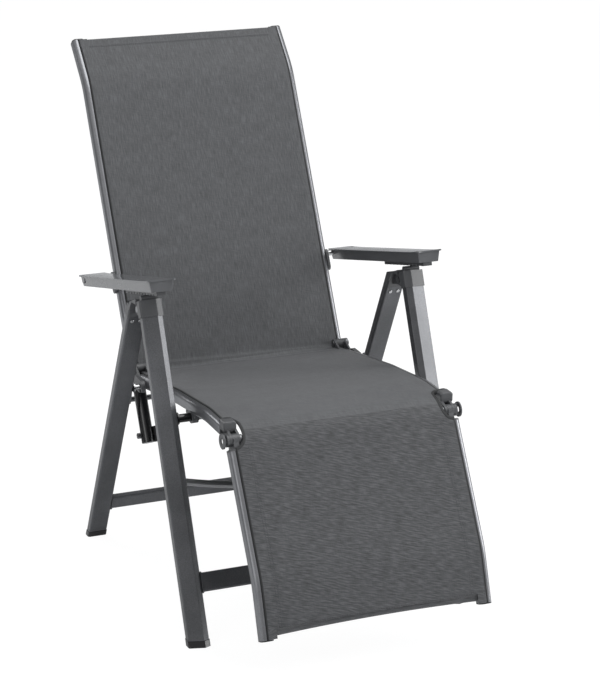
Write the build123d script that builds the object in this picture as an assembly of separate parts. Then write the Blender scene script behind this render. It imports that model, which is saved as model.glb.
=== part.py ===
from build123d import *
import os
from math import atan2, cos, degrees, hypot, radians, sin

# Reclining garden armchair: folding A-frame, hinged seat, back and leg rest, sling fabric.
# Millimetres. The chair faces -Y, X runs across it and Z is up. The origin lies on the floor, under
# the middle of the chair's width and depth. Each side is drawn once, on the +X side, and mirrored.

os.makedirs("parts", exist_ok=True)

# Fits
RUNNING_GAP = 0.08        # radial play of a pin in the bore that turns on it
SIDE_GAP = 0.4            # play between pieces that slide past each other
SEAT_GAP = 0.3            # play round a piece that sits in or on another
OVERRUN = 5.0             # how far a cutter reaches past the piece it cuts
CUTTER_SIZE = 1500.0      # side of the blocks that trim a piece at a plane

# A-frame: legs, their lean from the vertical, and the head pivots
LEG_CENTRE_X = 300.0      # from the middle of the chair to a leg's centreline
HEAD_Y, HEAD_Z = -40.8, 640.0    # the pin that joins the two legs of a side
LEG_WALL = 2.0
FRONT_FOOT_Y = -340.0
FRONT_LEAN = 21.85        # degrees, leaning rearwards as it rises
FRONT_LEG_RISE = 12.0     # from that pin up to the front leg's end
FRONT_LEG_TOP_Z = HEAD_Z + FRONT_LEG_RISE
REAR_FOOT_Y = 334.6
REAR_LEAN = -27.36        # degrees, leaning forwards as it rises
REAR_LEG_DROP = 26.0      # from that pin down to the rear leg's end
REAR_LEG_TOP_Z = HEAD_Z - REAR_LEG_DROP
FOOT_CAP_HEIGHT = 13.0
FOOT_CAP_LIP = 1.2        # how far a foot cap stands proud of its leg
FOOT_SPIGOT_LENGTH = 30.0

# Front leg profile: a broad outer facet and a narrow inner facet meet at a crest
FRONT_LEG_DEPTH = 26.0
OUTER_FACET_WIDTH = 31.0
OUTER_FACET_SETBACK = 8.3
INNER_FACET_WIDTH = 13.0
INNER_FACET_SETBACK = 4.7
FRONT_LEG_CORNER = 2.5
REAR_LEG_WIDTH = 42.0
REAR_LEG_DEPTH = 20.0
REAR_LEG_CORNER = 4.0

# Crossbars between the legs, and the bowed bar behind the leg rest
FRONT_BAR_Z = 118.0
FRONT_BAR_HEIGHT = 40.0
FRONT_BAR_DEPTH = 18.0
REAR_BAR_Z = 94.0
REAR_BAR_HEIGHT = 36.0
REAR_BAR_DEPTH = 15.0
BAR_CORNER = 4.0
BAR_WALL = 1.8
WELD_FLANGE = 3.0         # thickness of the welded collar at each end of a crossbar
WELD_FLANGE_LIP = 2.5
BOW_Z = 312.0
BOW_SAG = 32.0
BOW_DIAMETER = 15.0
BOW_WALL = 1.5

# Front head: a plastic cap over the leg, with two ears for the head pin and a latch nose
CAP_DROP = 6.0            # from the head pin down to the cap's lower edge
CAP_RISE = 27.0           # and up to its top
CAP_BOTTOM_Z = HEAD_Z - CAP_DROP
CAP_TOP_Z = HEAD_Z + CAP_RISE
CAP_WALL = 2.6
EAR_THICKNESS = 6.0
EAR_RADIUS = 11.0
NOSE_Y, NOSE_RISE = -69.8, 37.5   # the nose's top, above the head pin
NOSE_TOP_Z = HEAD_Z + NOSE_RISE
NOSE_RADIUS = 6.0
NOSE_WIDTH = 36.0
HEAD_PIN_DIAMETER = 8.0
PIN_HEAD_DIAMETER = 13.0
PIN_HEAD_THICKNESS = 2.0

# Rear head: a plastic end in the leg, with a tongue between the ears, held by two rivets
REAR_HEAD_RISE = 30.0     # its height above the leg's tube, along the leg
REAR_HEAD_SPIGOT = 38.0
TONGUE_THICKNESS = 18.0
HOOD_FRONT_Y, HOOD_FRONT_RISE = -46.0, 24.0   # upper front corner of the hood, above the head pin
HOOD_REAR_Y, HOOD_REAR_RISE = -3.0, 7.0       # where its top meets the rear head's block
HOOD_FRONT_Z = HEAD_Z + HOOD_FRONT_RISE
HOOD_REAR_Z = HEAD_Z + HOOD_REAR_RISE
RIVET_SPACING = 18.0
RIVET_DIAMETER = 5.0
RIVET_HEAD_DIAMETER = 8.5
RIVET_HEAD_HEIGHT = 1.6
RIVET_DROP = 12.0         # from the tube's end down to the rivets

# Rails of seat, back and leg rest: one extruded profile with a channel for the sling's cord
RAIL_INSET = 60.0         # from a leg's centreline to a rail's
RAIL_CENTRE_X = LEG_CENTRE_X - RAIL_INSET
RAIL_WIDTH = 28.0
RAIL_DEPTH = 28.0
RAIL_CORNER = 9.0
RAIL_WALL = 1.8
CHANNEL_X = 1.0           # from the rail's middle towards its outer side
CHANNEL_DEPTH = 7.0       # from the rail's top face down to the channel's centre
CHANNEL_RADIUS = 3.4
CHANNEL_WALL = 1.4
SLOT_WIDTH = 3.6
CORD_RADIUS = 3.0
SLING_THICKNESS = 1.3

# Seat: rail path in the (Y, Z) plane, rear to front
SEAT_REAR = (137.2, 422.0)
SEAT_MIDDLE = (-90.8, 453.0)
SEAT_CROWN = (-264.8, 468.0)
SEAT_FRONT = (-350.8, 465.0)
SEAT_BEND_RADIUS = 400.0
SEAT_FRONT_BEND_RADIUS = 260.0
SEAT_TUBE_Y = -4.8
SEAT_TUBE_DIAMETER = 22.0
SEAT_TUBE_DROP = 14.0     # from the rails' centreline down to the cross tube's

# Seat pivot on the front legs
SEAT_PIVOT_Y, SEAT_PIVOT_Z = -165.8, 434.0
PIVOT_TUBE_DIAMETER = 18.0
PIVOT_TUBE_BORE = 8.0
PIVOT_FLANGE_DIAMETER = 26.0
PIVOT_FLANGE_THICKNESS = 3.0
BRACKET_THICKNESS = 14.0
BRACKET_RADIUS = 13.5
BRACKET_LENGTH = 56.0

# Where the seat hooks over a pin on each rear leg
HOOK_Y = 107.2
HOOK_PIN_DIAMETER = 12.0
HOOK_PIN_DROP = 6.0       # from the rail's centreline down to the pin's
HOOK_THICKNESS = 9.0
HOOK_RADIUS = 15.0
HOOK_FLANGE_DIAMETER = 20.0

# Back: pivot on the seat, rail path in the (Y, Z) plane, top to bottom
BACK_PIVOT_Y, BACK_PIVOT_Z = 175.2, 441.0
BACK_TOP = (562.3, 1098.8)
BACK_BEND = (487.2, 1018.0)
BACK_BEND_RADIUS = 160.0
BACK_RAIL_END_Z = 396.0
BACK_LEAN = 26.18         # degrees from the vertical, below the bend
BACK_END_Z = 282.0
BACK_END_BOLT_RISE = 18.0  # from the rail's lower tip up to the bolt, along the rail
TOP_BAR_DIAMETER = 20.0
TOP_BAR_INSET = 8.5       # from the rails' ends, along them
TOP_BAR_RISE = 4.0        # from the rails' centrelines towards the sling
CHEEK_THICKNESS = 4.0
CHEEK_RADIUS = 10.0
BRACKET_PLUG_LENGTH = 28.0  # how far the fork's plug reaches into the seat rail
BRACKET_PLUG_CAP = 8.0
BACK_PIN_DIAMETER = 8.0
DISC_THICKNESS = 2.5
LUG_RADIUS = 10.0
BUMPER_THICKNESS = 12.0
BUMPER_HEIGHT = 34.0
BUMPER_DEPTH = 22.0
END_BOLT_DIAMETER = 7.0
END_BOLT_HEAD_DIAMETER = 13.0
END_BOLT_HEAD_HEIGHT = 8.0

# Leg rest: pivot at the knee and rail ends in the (Y, Z) plane
KNEE_Y, KNEE_Z = -385.8, 453.0
REST_LEAN = 28.9          # degrees from the vertical, hanging forwards, above the rails' bend
REST_FOOT_LEAN = 18.0     # below the bend
REST_BEND_RADIUS = 200.0
REST_TOP_DROP = 24.0      # from the knee pivot down to the rails' upper ends, along them
REST_LENGTH = 401.0       # from the knee pivot to the rails' lower ends, by way of the bend's corner
REST_BEND_SHARE = 0.7232  # the share of that length that lies above the corner
REST_BEND = REST_LENGTH * REST_BEND_SHARE
REST_BAR_DIAMETER = 20.0
REST_BAR_INSET = 16.0
REST_BAR_RISE = 5.2       # how far the lower bar bows up in its middle
KNEE_PIN_DIAMETER = 8.0
KNUCKLE_RADIUS = 13.0
KNUCKLE_CHEEK = 5.0
KNUCKLE_PLUG_LENGTH = 28.0
KNUCKLE_PLUG_CAP = 4.0
KNEE_HOOD_LENGTH = 24.0   # the closed housing over the knee, from the seat rail's end forwards
KNEE_HOOD_BOTTOM = 1.0    # its bottom and top, above the rail's middle
KNEE_HOOD_TOP = 24.0
KNEE_HOOD_CORNER = 6.0
KNEE_COVER_THICKNESS = 5.5
KNEE_RING_DIAMETER = 32.0
KNEE_RING_THICKNESS = 3.0
KNEE_RING_HOLE = 13.0
KNEE_RING_STANDOFF = 5.5  # from the cover to the ring, which a post at the top holds
KNEE_RING_POST = 6.0
KNEE_BUTTON_WIDTH = 10.0
KNEE_BUTTON_LENGTH = 13.0
KNEE_BUTTON_HEIGHT = 2.0

# End plugs of the rails at the back's top and the leg rest's foot
END_PLUG_LENGTH = 14.0
END_PLUG_CAP = 2.0

# Bails: steel bars under the seat that turn the hinge ratchets of the two sides together
BAIL_ROD_DIAMETER = 12.0
BAIL_ARM_THICKNESS = 5.0
BAIL_ARM_RADIUS = 10.0
BACK_BAIL_Y, BACK_BAIL_Z = 205.0, 360.0
KNEE_BAIL_Y, KNEE_BAIL_Z = -338.0, 415.0

# Armrests: shell, rack and pivot
ARM_WIDTH = 60.0
ARM_OVERHANG = 31.0       # from a leg's centreline to the armrest's outer edge
ARM_OUTER_X = LEG_CENTRE_X + ARM_OVERHANG
ARM_INNER_X = ARM_OUTER_X - ARM_WIDTH
ARM_FRONT = (-157.8, 732.5)   # front end of the top face, (Y, Z)
ARM_REAR = (313.2, 627.0)   # rear end of the top face, (Y, Z)
ARM_TOP_THICKNESS = 4.0
ARM_LIP = 4.0             # how far the top plate overhangs the body
ARM_HEIGHT = 25.0
ARM_TAPER = 4.0           # how far each body wall leans in, from top to bottom
ARM_WALL = 3.0
ARM_CORNER = 12.0
ARM_EDGE_ROUND = 1.6
ARM_PIVOT_Z = 622.0
ARM_PIN_DIAMETER = 10.0
ARM_PIN_REACH = 22.0      # how far the pin reaches into the armrest
ARM_HUB_RADIUS = 9.5
ARM_LINK_THICKNESS = 6.0
ARM_LINK_LENGTH = 30.0
RACK_WIDTH = 20.0
RACK_HEIGHT = 8.0
RACK_LENGTH = 200.0
RACK_FRONT_INSET = 14.0
RACK_TOOTH_PITCH = 18.0
RACK_TOOTH_DEPTH = 3.5


def save(node, shape):
    """Write one node's solids to its STEP file."""
    export_step(shape, f"parts/{node}.step")


def save_pair(name, right):
    """Write a right-hand piece and its mirror image."""
    save(f"{name}_right", right)
    save(f"{name}_left", mirror(right, about=Plane.YZ))


def both_sides(right):
    """A right-hand solid and its mirror image as one group."""
    return Compound([right, mirror(right, about=Plane.YZ)])


def save_group(node, right):
    """Write a small right-hand piece and its mirror image as one node."""
    save(node, both_sides(right))


def side_plane(y, z, x=0.0):
    """A plane facing +X, whose local axes are Y and Z, at a point of the chair."""
    return Plane(origin=(x, y, z), x_dir=(0, 1, 0), z_dir=(1, 0, 0))


def cross_cylinder(y, z, diameter, x_from, x_to):
    """A round bar along X."""
    return side_plane(y, z, x_from) * extrude(Circle(diameter / 2), x_to - x_from)


def cross_box(y, z, length, height, turn, x_from, x_to):
    """A flat bar along X, turned about X; length and height lie in the side plane."""
    return side_plane(y, z, x_from) * extrude(Rot(0, 0, turn) * Rectangle(length, height), x_to - x_from)


def link_plate(a, b, radius, x_from, x_to):
    """A plate in the side plane with round ends at two (Y, Z) points."""
    outline = SlotCenterToCenter(hypot(b[0] - a[0], b[1] - a[1]), radius * 2)
    turn = degrees(atan2(b[1] - a[1], b[0] - a[0]))
    middle = side_plane((a[0] + b[0]) / 2, (a[1] + b[1]) / 2, x_from)
    return middle * extrude(Rot(0, 0, turn) * outline, x_to - x_from)


def leaning(foot_y, lean):
    """The frame of a leg: local z runs up it from the floor, local y points rearwards."""
    return Plane(origin=(LEG_CENTRE_X, foot_y, 0), x_dir=(1, 0, 0),
                 z_dir=(0, sin(radians(lean)), cos(radians(lean))))


def leg_point(foot_y, lean, z):
    """The (Y, Z) point at height z on a leg's centreline."""
    return foot_y + z * sin(radians(lean)) / cos(radians(lean)), z


def above(shape, z):
    """The part of a shape that lies above a level."""
    return shape - Pos(0, 0, z - CUTTER_SIZE / 2) * Box(CUTTER_SIZE, CUTTER_SIZE, CUTTER_SIZE)


def front_leg_outline():
    """The front leg's profile, outer side towards +x and front towards -y."""
    half = (OUTER_FACET_WIDTH + INNER_FACET_WIDTH) / 2
    back = FRONT_LEG_DEPTH / 2
    outline = make_face(Polyline(
        (-half, back), (-half, -back + INNER_FACET_SETBACK), (-half + INNER_FACET_WIDTH, -back),
        (half, -back + OUTER_FACET_SETBACK), (half, back), close=True))
    return fillet(outline.vertices(), FRONT_LEG_CORNER)


def rear_leg_outline():
    """The rear leg's profile."""
    return RectangleRounded(REAR_LEG_WIDTH, REAR_LEG_DEPTH, REAR_LEG_CORNER)


def leg_tube(outline, foot_y, lean, top_z):
    """A hollow leg from the foot cap's top face to its own squared-off upper end."""
    section = outline - offset(outline, -LEG_WALL)
    length = top_z / cos(radians(lean))
    tube = leaning(foot_y, lean) * Pos(0, 0, -FRONT_LEG_DEPTH) * extrude(section, length + FRONT_LEG_DEPTH)
    return above(tube, FOOT_CAP_HEIGHT)


def foot_cap(outline, foot_y, lean):
    """A plastic foot, flat on the floor, with a spigot up inside the leg."""
    frame = leaning(foot_y, lean)
    block = frame * Pos(0, 0, -FRONT_LEG_DEPTH) * extrude(
        offset(outline, FOOT_CAP_LIP), FRONT_LEG_DEPTH * 2 + FOOT_CAP_HEIGHT)
    block -= Pos(0, 0, FOOT_CAP_HEIGHT - SEAT_GAP + CUTTER_SIZE / 2) * Box(CUTTER_SIZE, CUTTER_SIZE, CUTTER_SIZE)
    spigot = frame * extrude(offset(outline, -LEG_WALL - SEAT_GAP), FOOT_SPIGOT_LENGTH)
    return above(block + spigot, 0)


def crossbar(foot_y, lean, z, height, depth, leg_half_width):
    """A flat tube between the legs' inner sides, with a welded flange at each end."""
    frame = leaning(foot_y, lean)
    y, _ = leg_point(foot_y, lean, z)
    end = LEG_CENTRE_X - leg_half_width - SEAT_GAP
    place = Plane(origin=(-end, y, z), x_dir=frame.y_dir, z_dir=(1, 0, 0))
    outline = RectangleRounded(depth, height, BAR_CORNER)
    flange = RectangleRounded(depth + WELD_FLANGE_LIP * 2, height + WELD_FLANGE_LIP * 2,
                              BAR_CORNER + WELD_FLANGE_LIP)
    bar = extrude(outline - offset(outline, -BAR_WALL), end * 2)
    ring = extrude(flange - offset(outline, -BAR_WALL), WELD_FLANGE)
    return place * (bar + ring + Pos(0, 0, end * 2 - WELD_FLANGE) * ring)


def front_bow():
    """The thin bar between the front legs, which sags towards its middle."""
    y, z = leg_point(FRONT_FOOT_Y, FRONT_LEAN, BOW_Z)
    end = LEG_CENTRE_X - (OUTER_FACET_WIDTH + INNER_FACET_WIDTH) / 2 - SEAT_GAP
    up = leaning(FRONT_FOOT_Y, FRONT_LEAN).z_dir
    middle = Vector(0, y, z) - up * BOW_SAG
    path = ThreePointArc((-end, y, z), middle, (end, y, z))
    ring = Circle(BOW_DIAMETER / 2) - Circle(BOW_DIAMETER / 2 - BOW_WALL)
    bar = sweep(Plane(origin=path @ 0, z_dir=path % 0) * ring, path=path)
    return bar & Box(end * 2, CUTTER_SIZE, CUTTER_SIZE)


def head_cap():
    """The cap on the front leg: a closed sleeve, two ears for the head pin and the latch nose."""
    frame = leaning(FRONT_FOOT_Y, FRONT_LEAN)
    scale = cos(radians(FRONT_LEAN))
    bottom, top, inside = CAP_BOTTOM_Z / scale, CAP_TOP_Z / scale, FRONT_LEG_TOP_Z / scale
    leg = front_leg_outline()
    sleeve = Pos(0, 0, bottom) * extrude(offset(leg, CAP_WALL), top - bottom)
    bore = Pos(0, 0, bottom - OVERRUN) * extrude(offset(leg, SEAT_GAP), inside + SEAT_GAP - bottom + OVERRUN)
    shell = frame * (sleeve - bore)
    inner = TONGUE_THICKNESS / 2 + SIDE_GAP
    rear_face = leg_point(FRONT_FOOT_Y, FRONT_LEAN, HEAD_Z)[0] + FRONT_LEG_DEPTH / 2 + CAP_WALL / 2
    for side in (-1, 1):
        x_from, x_to = sorted((LEG_CENTRE_X + side * inner, LEG_CENTRE_X + side * (inner + EAR_THICKNESS)))
        ear = link_plate((rear_face, HEAD_Z), (HEAD_Y, HEAD_Z), EAR_RADIUS, x_from, x_to)
        shell += ear - frame * bore
    nose_half = NOSE_WIDTH / 2
    shell += link_plate((NOSE_Y, NOSE_TOP_Z - NOSE_RADIUS), (NOSE_Y, CAP_TOP_Z - NOSE_RADIUS * 2), NOSE_RADIUS,
                        LEG_CENTRE_X - nose_half, LEG_CENTRE_X + nose_half) - frame * bore
    pin_bore = HEAD_PIN_DIAMETER + SEAT_GAP * 2
    return shell - cross_cylinder(HEAD_Y, HEAD_Z, pin_bore, 0, LEG_CENTRE_X * 2)


def rear_head():
    """The rear leg's plastic end: a spigot in the tube, a block and the tongue round the head pin."""
    frame = leaning(REAR_FOOT_Y, REAR_LEAN)
    top = REAR_LEG_TOP_Z / cos(radians(REAR_LEAN))
    outline = rear_leg_outline()
    spigot = Pos(0, 0, top - REAR_HEAD_SPIGOT) * extrude(offset(outline, -LEG_WALL - SEAT_GAP), REAR_HEAD_SPIGOT)
    block = Pos(0, 0, top + SEAT_GAP) * extrude(outline, REAR_HEAD_RISE)
    neck = Pos(0, 0, top) * extrude(offset(outline, -LEG_WALL - SEAT_GAP), REAR_HEAD_RISE)
    head = frame * (spigot + neck + block)
    y, z = leg_point(REAR_FOOT_Y, REAR_LEAN, REAR_LEG_TOP_Z + REAR_HEAD_RISE / 2)
    half = TONGUE_THICKNESS / 2
    head += rear_head_hood((y, z))
    head += link_plate((y, z), (HEAD_Y, HEAD_Z), EAR_RADIUS - SEAT_GAP, LEG_CENTRE_X - half, LEG_CENTRE_X + half)
    head -= cross_cylinder(HEAD_Y, HEAD_Z, HEAD_PIN_DIAMETER + RUNNING_GAP * 2, 0, LEG_CENTRE_X * 2)
    for rivet in rivet_places():
        head -= frame * rivet * Cylinder((RIVET_DIAMETER + SEAT_GAP) / 2, REAR_LEG_DEPTH * 2)
    return head


def rear_head_hood(root):
    """The wedge on top of a rear head, which reaches forwards over the ears."""
    underside = HEAD_Z + EAR_RADIUS + SIDE_GAP * 2
    outline = make_face(Polyline((HOOD_FRONT_Y, underside), (HOOD_FRONT_Y, HOOD_FRONT_Z), (HOOD_REAR_Y, HOOD_REAR_Z),
                                 root, (root[0] - EAR_RADIUS, root[1]), (HEAD_Y + EAR_RADIUS * 2, underside),
                                 close=True))
    return side_plane(0, 0, LEG_CENTRE_X - REAR_LEG_WIDTH / 2) * extrude(outline, REAR_LEG_WIDTH)


def rivet_places():
    """Where the two rivets cross the rear leg, in the leg's frame, with local z along the rivet."""
    top = REAR_LEG_TOP_Z / cos(radians(REAR_LEAN))
    return [Pos(side * RIVET_SPACING / 2, 0, top - RIVET_DROP) * Rot(90, 0, 0) for side in (-1, 1)]


def head_rivets():
    """Two domed rivets through one rear leg."""
    grip = REAR_LEG_DEPTH + SEAT_GAP * 2
    shank = Cylinder(RIVET_DIAMETER / 2, grip)
    head = Cylinder(RIVET_HEAD_DIAMETER / 2, RIVET_HEAD_HEIGHT, align=(Align.CENTER, Align.CENTER, Align.MIN))
    head = fillet(head.edges().filter_by(GeomType.CIRCLE).sort_by(Axis.Z)[-1], RIVET_HEAD_HEIGHT * 3 / 4)
    rivet = shank + Pos(0, 0, grip / 2) * head + Pos(0, 0, -grip / 2) * Rot(180, 0, 0) * head
    return [leaning(REAR_FOOT_Y, REAR_LEAN) * place * rivet for place in rivet_places()]


def rear_leg():
    """A rear leg's tube, bored for the rivets that hold its head."""
    leg = leg_tube(rear_leg_outline(), REAR_FOOT_Y, REAR_LEAN, REAR_LEG_TOP_Z)
    for rivet in rivet_places():
        leg -= leaning(REAR_FOOT_Y, REAR_LEAN) * rivet * Cylinder(
            (RIVET_DIAMETER + SEAT_GAP) / 2, REAR_LEG_DEPTH * 2)
    return leg


def head_pin():
    """The pin through the ears and the tongue, headed at both ends."""
    half = TONGUE_THICKNESS / 2 + SIDE_GAP + EAR_THICKNESS
    pin = cross_cylinder(HEAD_Y, HEAD_Z, HEAD_PIN_DIAMETER, LEG_CENTRE_X - half, LEG_CENTRE_X + half)
    for x_from in (LEG_CENTRE_X - half - PIN_HEAD_THICKNESS, LEG_CENTRE_X + half):
        pin += cross_cylinder(HEAD_Y, HEAD_Z, PIN_HEAD_DIAMETER, x_from, x_from + PIN_HEAD_THICKNESS)
    return pin


def side_path(points, radii):
    """A wire in the side plane through (Y, Z) points, each inner corner rounded."""
    wire = Polyline(*points)
    if radii:
        wire = FilletPolyline(*points, radius=radii)
    return Plane(origin=(0, 0, 0), x_dir=(0, 1, 0), z_dir=(1, 0, 0)) * wire


def section_plane(path):
    """The plane across a side path at its start: local x is X, local y points to the sling's side."""
    return Plane(origin=path @ 0, x_dir=(1, 0, 0), z_dir=path % 0)


def channel_y():
    """Height of the cord channel's centre above the rail's middle, towards the sling."""
    return RAIL_DEPTH / 2 - CHANNEL_DEPTH


def rail_outline():
    """The rail's profile: a hollow rounded tube with a slotted channel in its sling side."""
    tube = RectangleRounded(RAIL_WIDTH, RAIL_DEPTH, RAIL_CORNER)
    pocket = Pos(CHANNEL_X, channel_y()) * Circle(CHANNEL_RADIUS)
    slot = Pos(CHANNEL_X, channel_y() + RAIL_DEPTH / 2) * Rectangle(SLOT_WIDTH, RAIL_DEPTH)
    housing = Pos(CHANNEL_X, channel_y()) * Circle(CHANNEL_RADIUS + CHANNEL_WALL)
    lips = Pos(CHANNEL_X, channel_y() + CHANNEL_DEPTH / 2) * Rectangle(
        SLOT_WIDTH + CHANNEL_WALL * 2, CHANNEL_DEPTH)
    hollow = offset(tube, -RAIL_WALL) - housing - lips
    hollow = max(hollow.faces(), key=lambda face: face.area)
    return tube - hollow - pocket - slot


def rail(path):
    """A right-hand rail along a side path."""
    return Pos(RAIL_CENTRE_X, 0, 0) * sweep(section_plane(path) * rail_outline(), path=path,
                                            transition=Transition.TRANSFORMED)


def sling(path):
    """The fabric between a pair of rails, its edges turned down into their channels."""
    top = RAIL_DEPTH / 2 + SEAT_GAP
    edge = RAIL_CENTRE_X + CHANNEL_X
    sheet = Pos(0, top + SLING_THICKNESS / 2) * Rectangle(edge * 2 + SLING_THICKNESS, SLING_THICKNESS)
    drop_to = channel_y() + CORD_RADIUS + SEAT_GAP / 2
    drop = top + SLING_THICKNESS - drop_to
    flange = Pos(edge, drop_to + drop / 2) * Rectangle(SLING_THICKNESS, drop)
    section = sheet + flange + mirror(flange, about=Plane.YZ)
    return sweep(section_plane(path) * section, path=path, transition=Transition.TRANSFORMED)


def cord(path):
    """The plastic cord that holds the sling's edge in a right-hand rail's channel."""
    place = Pos(RAIL_CENTRE_X + CHANNEL_X, channel_y())
    return sweep(section_plane(path) * place * Circle(CORD_RADIUS), path=path, transition=Transition.TRANSFORMED)


def rail_plug(point, direction_deg, length, cap):
    """A plug in a rail's open end; direction_deg points out of the rail, in the side plane."""
    out = Vector(0, cos(radians(direction_deg)), sin(radians(direction_deg)))
    frame = Plane(origin=(RAIL_CENTRE_X, *point), x_dir=(1, 0, 0), z_dir=out)
    outline = RectangleRounded(RAIL_WIDTH, RAIL_DEPTH, RAIL_CORNER)
    inner_side = frame.y_dir.dot(Vector(0, 0, 1)) < 0
    clear = RAIL_DEPTH / 2 - CHANNEL_DEPTH - CHANNEL_RADIUS - CHANNEL_WALL - SEAT_GAP
    depth = RAIL_DEPTH / 2 - RAIL_WALL - SEAT_GAP
    middle = (clear - depth) / 2 * (-1 if inner_side else 1)
    tang = Pos(0, middle, -length) * extrude(
        Rectangle((RAIL_WIDTH / 2 - RAIL_CORNER) * 2 + RAIL_CORNER / 2, (clear + depth) * 3 / 4), length + SEAT_GAP)
    return frame * (Pos(0, 0, SEAT_GAP) * extrude(outline, cap) + tang)


def seat_points():
    """The seat rails' corner points, rear to front."""
    return [SEAT_REAR, SEAT_MIDDLE, SEAT_CROWN, SEAT_FRONT]


def seat_path():
    """The seat rails' centreline, rear to front."""
    return side_path(seat_points(), (SEAT_BEND_RADIUS, SEAT_FRONT_BEND_RADIUS))


def seat_z(y):
    """Height of the seat rails' straight rear part at a depth y."""
    (y0, z0), (y1, z1) = SEAT_REAR, SEAT_MIDDLE
    return z0 + (y - y0) * (z1 - z0) / (y1 - y0)


def back_direction():
    """Unit (Y, Z) direction up the back rails, below their bend."""
    return sin(radians(BACK_LEAN)), cos(radians(BACK_LEAN))


def back_point(z):
    """The (Y, Z) point at height z on the back rails' centreline, below their bend."""
    return BACK_BEND[0] - (BACK_BEND[1] - z) * sin(radians(BACK_LEAN)) / cos(radians(BACK_LEAN)), z


def back_path(top, bottom_z):
    """The back rails' centreline from a top point down to a height."""
    return side_path([top, BACK_BEND, back_point(bottom_z)], (BACK_BEND_RADIUS,))


def rest_point(distance):
    """The (Y, Z) point on the leg rest rails' corner line, a distance below the knee pivot."""
    above, below = min(distance, REST_BEND), max(distance - REST_BEND, 0)
    lean, foot_lean = radians(REST_LEAN), radians(REST_FOOT_LEAN)
    return (KNEE_Y - above * sin(lean) - below * sin(foot_lean),
            KNEE_Z - above * cos(lean) - below * cos(foot_lean))


def rest_path(start, end):
    """The leg rest rails' centreline between two distances below the knee pivot."""
    return side_path([rest_point(start), rest_point(REST_BEND), rest_point(end)], (REST_BEND_RADIUS,))


def rail_inner_x():
    """X of a rail's inner face."""
    return RAIL_CENTRE_X - RAIL_WIDTH / 2


def rail_outer_x():
    """X of a rail's outer face."""
    return RAIL_CENTRE_X + RAIL_WIDTH / 2


def cross_tube(y, z, diameter):
    """A round tube between the rails' inner faces."""
    half = rail_inner_x() - SEAT_GAP
    return cross_cylinder(y, z, diameter, -half, half) - cross_cylinder(
        y, z, diameter - LEG_WALL * 2, -half - OVERRUN, half + OVERRUN)


def seat_cross_tube():
    """The tube under the seat, flattened onto a saddle plate at each rail."""
    z = seat_z(SEAT_TUBE_Y) - SEAT_TUBE_DROP
    tube = cross_tube(SEAT_TUBE_Y, z, SEAT_TUBE_DIAMETER)
    end = rail_inner_x() - SEAT_GAP
    saddle = cross_cylinder(SEAT_TUBE_Y, z, SEAT_TUBE_DIAMETER + WELD_FLANGE_LIP * 2, end - WELD_FLANGE, end)
    bore = cross_cylinder(SEAT_TUBE_Y, z, SEAT_TUBE_DIAMETER - LEG_WALL * 2, 0, end + OVERRUN)
    saddle -= bore
    return tube + saddle + mirror(saddle, about=Plane.YZ)


def seat_pivot_tube():
    """The black spacer tube that stands on the front leg and carries the seat's bracket."""
    leg_face = LEG_CENTRE_X - (OUTER_FACET_WIDTH + INNER_FACET_WIDTH) / 2 - SEAT_GAP
    inner_end = RAIL_CENTRE_X - BRACKET_THICKNESS / 2 - PIVOT_FLANGE_THICKNESS
    tube = cross_cylinder(SEAT_PIVOT_Y, SEAT_PIVOT_Z, PIVOT_TUBE_DIAMETER, inner_end, leg_face)
    tube += cross_cylinder(SEAT_PIVOT_Y, SEAT_PIVOT_Z, PIVOT_FLANGE_DIAMETER, leg_face - PIVOT_FLANGE_THICKNESS,
                           leg_face)
    return tube - cross_cylinder(SEAT_PIVOT_Y, SEAT_PIVOT_Z, PIVOT_TUBE_BORE + SEAT_GAP * 2, 0, LEG_CENTRE_X)


def seat_pivot_bolt():
    """The bolt through the spacer tube, its head under the seat and its end in the leg's bore."""
    inner_end = RAIL_CENTRE_X - BRACKET_THICKNESS / 2 - PIVOT_FLANGE_THICKNESS - SEAT_GAP
    leg_face = LEG_CENTRE_X - (OUTER_FACET_WIDTH + INNER_FACET_WIDTH) / 2
    shank = cross_cylinder(SEAT_PIVOT_Y, SEAT_PIVOT_Z, PIVOT_TUBE_BORE, inner_end, leg_face + LEG_WALL * 4)
    head = cross_cylinder(SEAT_PIVOT_Y, SEAT_PIVOT_Z, PIVOT_TUBE_BORE * 2, inner_end - PIVOT_FLANGE_THICKNESS * 2,
                          inner_end)
    return shank + head


def seat_pivot_bracket():
    """The bracket under a seat rail: a saddle along the rail and an eye round the spacer tube."""
    half = BRACKET_THICKNESS / 2
    x_from, x_to = RAIL_CENTRE_X - half, RAIL_CENTRE_X + half
    centre_z = SEAT_MIDDLE[1] + (SEAT_PIVOT_Y - SEAT_MIDDLE[0]) * (SEAT_CROWN[1] - SEAT_MIDDLE[1]) / (
        SEAT_CROWN[0] - SEAT_MIDDLE[0])
    slope = degrees(atan2(SEAT_CROWN[1] - SEAT_MIDDLE[1], SEAT_CROWN[0] - SEAT_MIDDLE[0]))
    under = centre_z - RAIL_DEPTH / 2
    saddle = cross_box(SEAT_PIVOT_Y, under - CHEEK_THICKNESS, BRACKET_LENGTH, CHEEK_THICKNESS * 2, slope,
                       x_from, x_to)
    eye = cross_cylinder(SEAT_PIVOT_Y, SEAT_PIVOT_Z, BRACKET_RADIUS * 2, x_from, x_to)
    rail_space = cross_box(SEAT_PIVOT_Y, centre_z, BRACKET_LENGTH * 2, RAIL_DEPTH + SEAT_GAP * 2, slope,
                           x_from - OVERRUN, x_to + OVERRUN)
    bore = cross_cylinder(SEAT_PIVOT_Y, SEAT_PIVOT_Z, PIVOT_TUBE_DIAMETER + RUNNING_GAP * 2, 0, LEG_CENTRE_X)
    return saddle + eye - rail_space - bore


def hook_point():
    """The (Y, Z) centre of a rear leg's hook pin."""
    return HOOK_Y, seat_z(HOOK_Y) - HOOK_PIN_DROP


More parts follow.
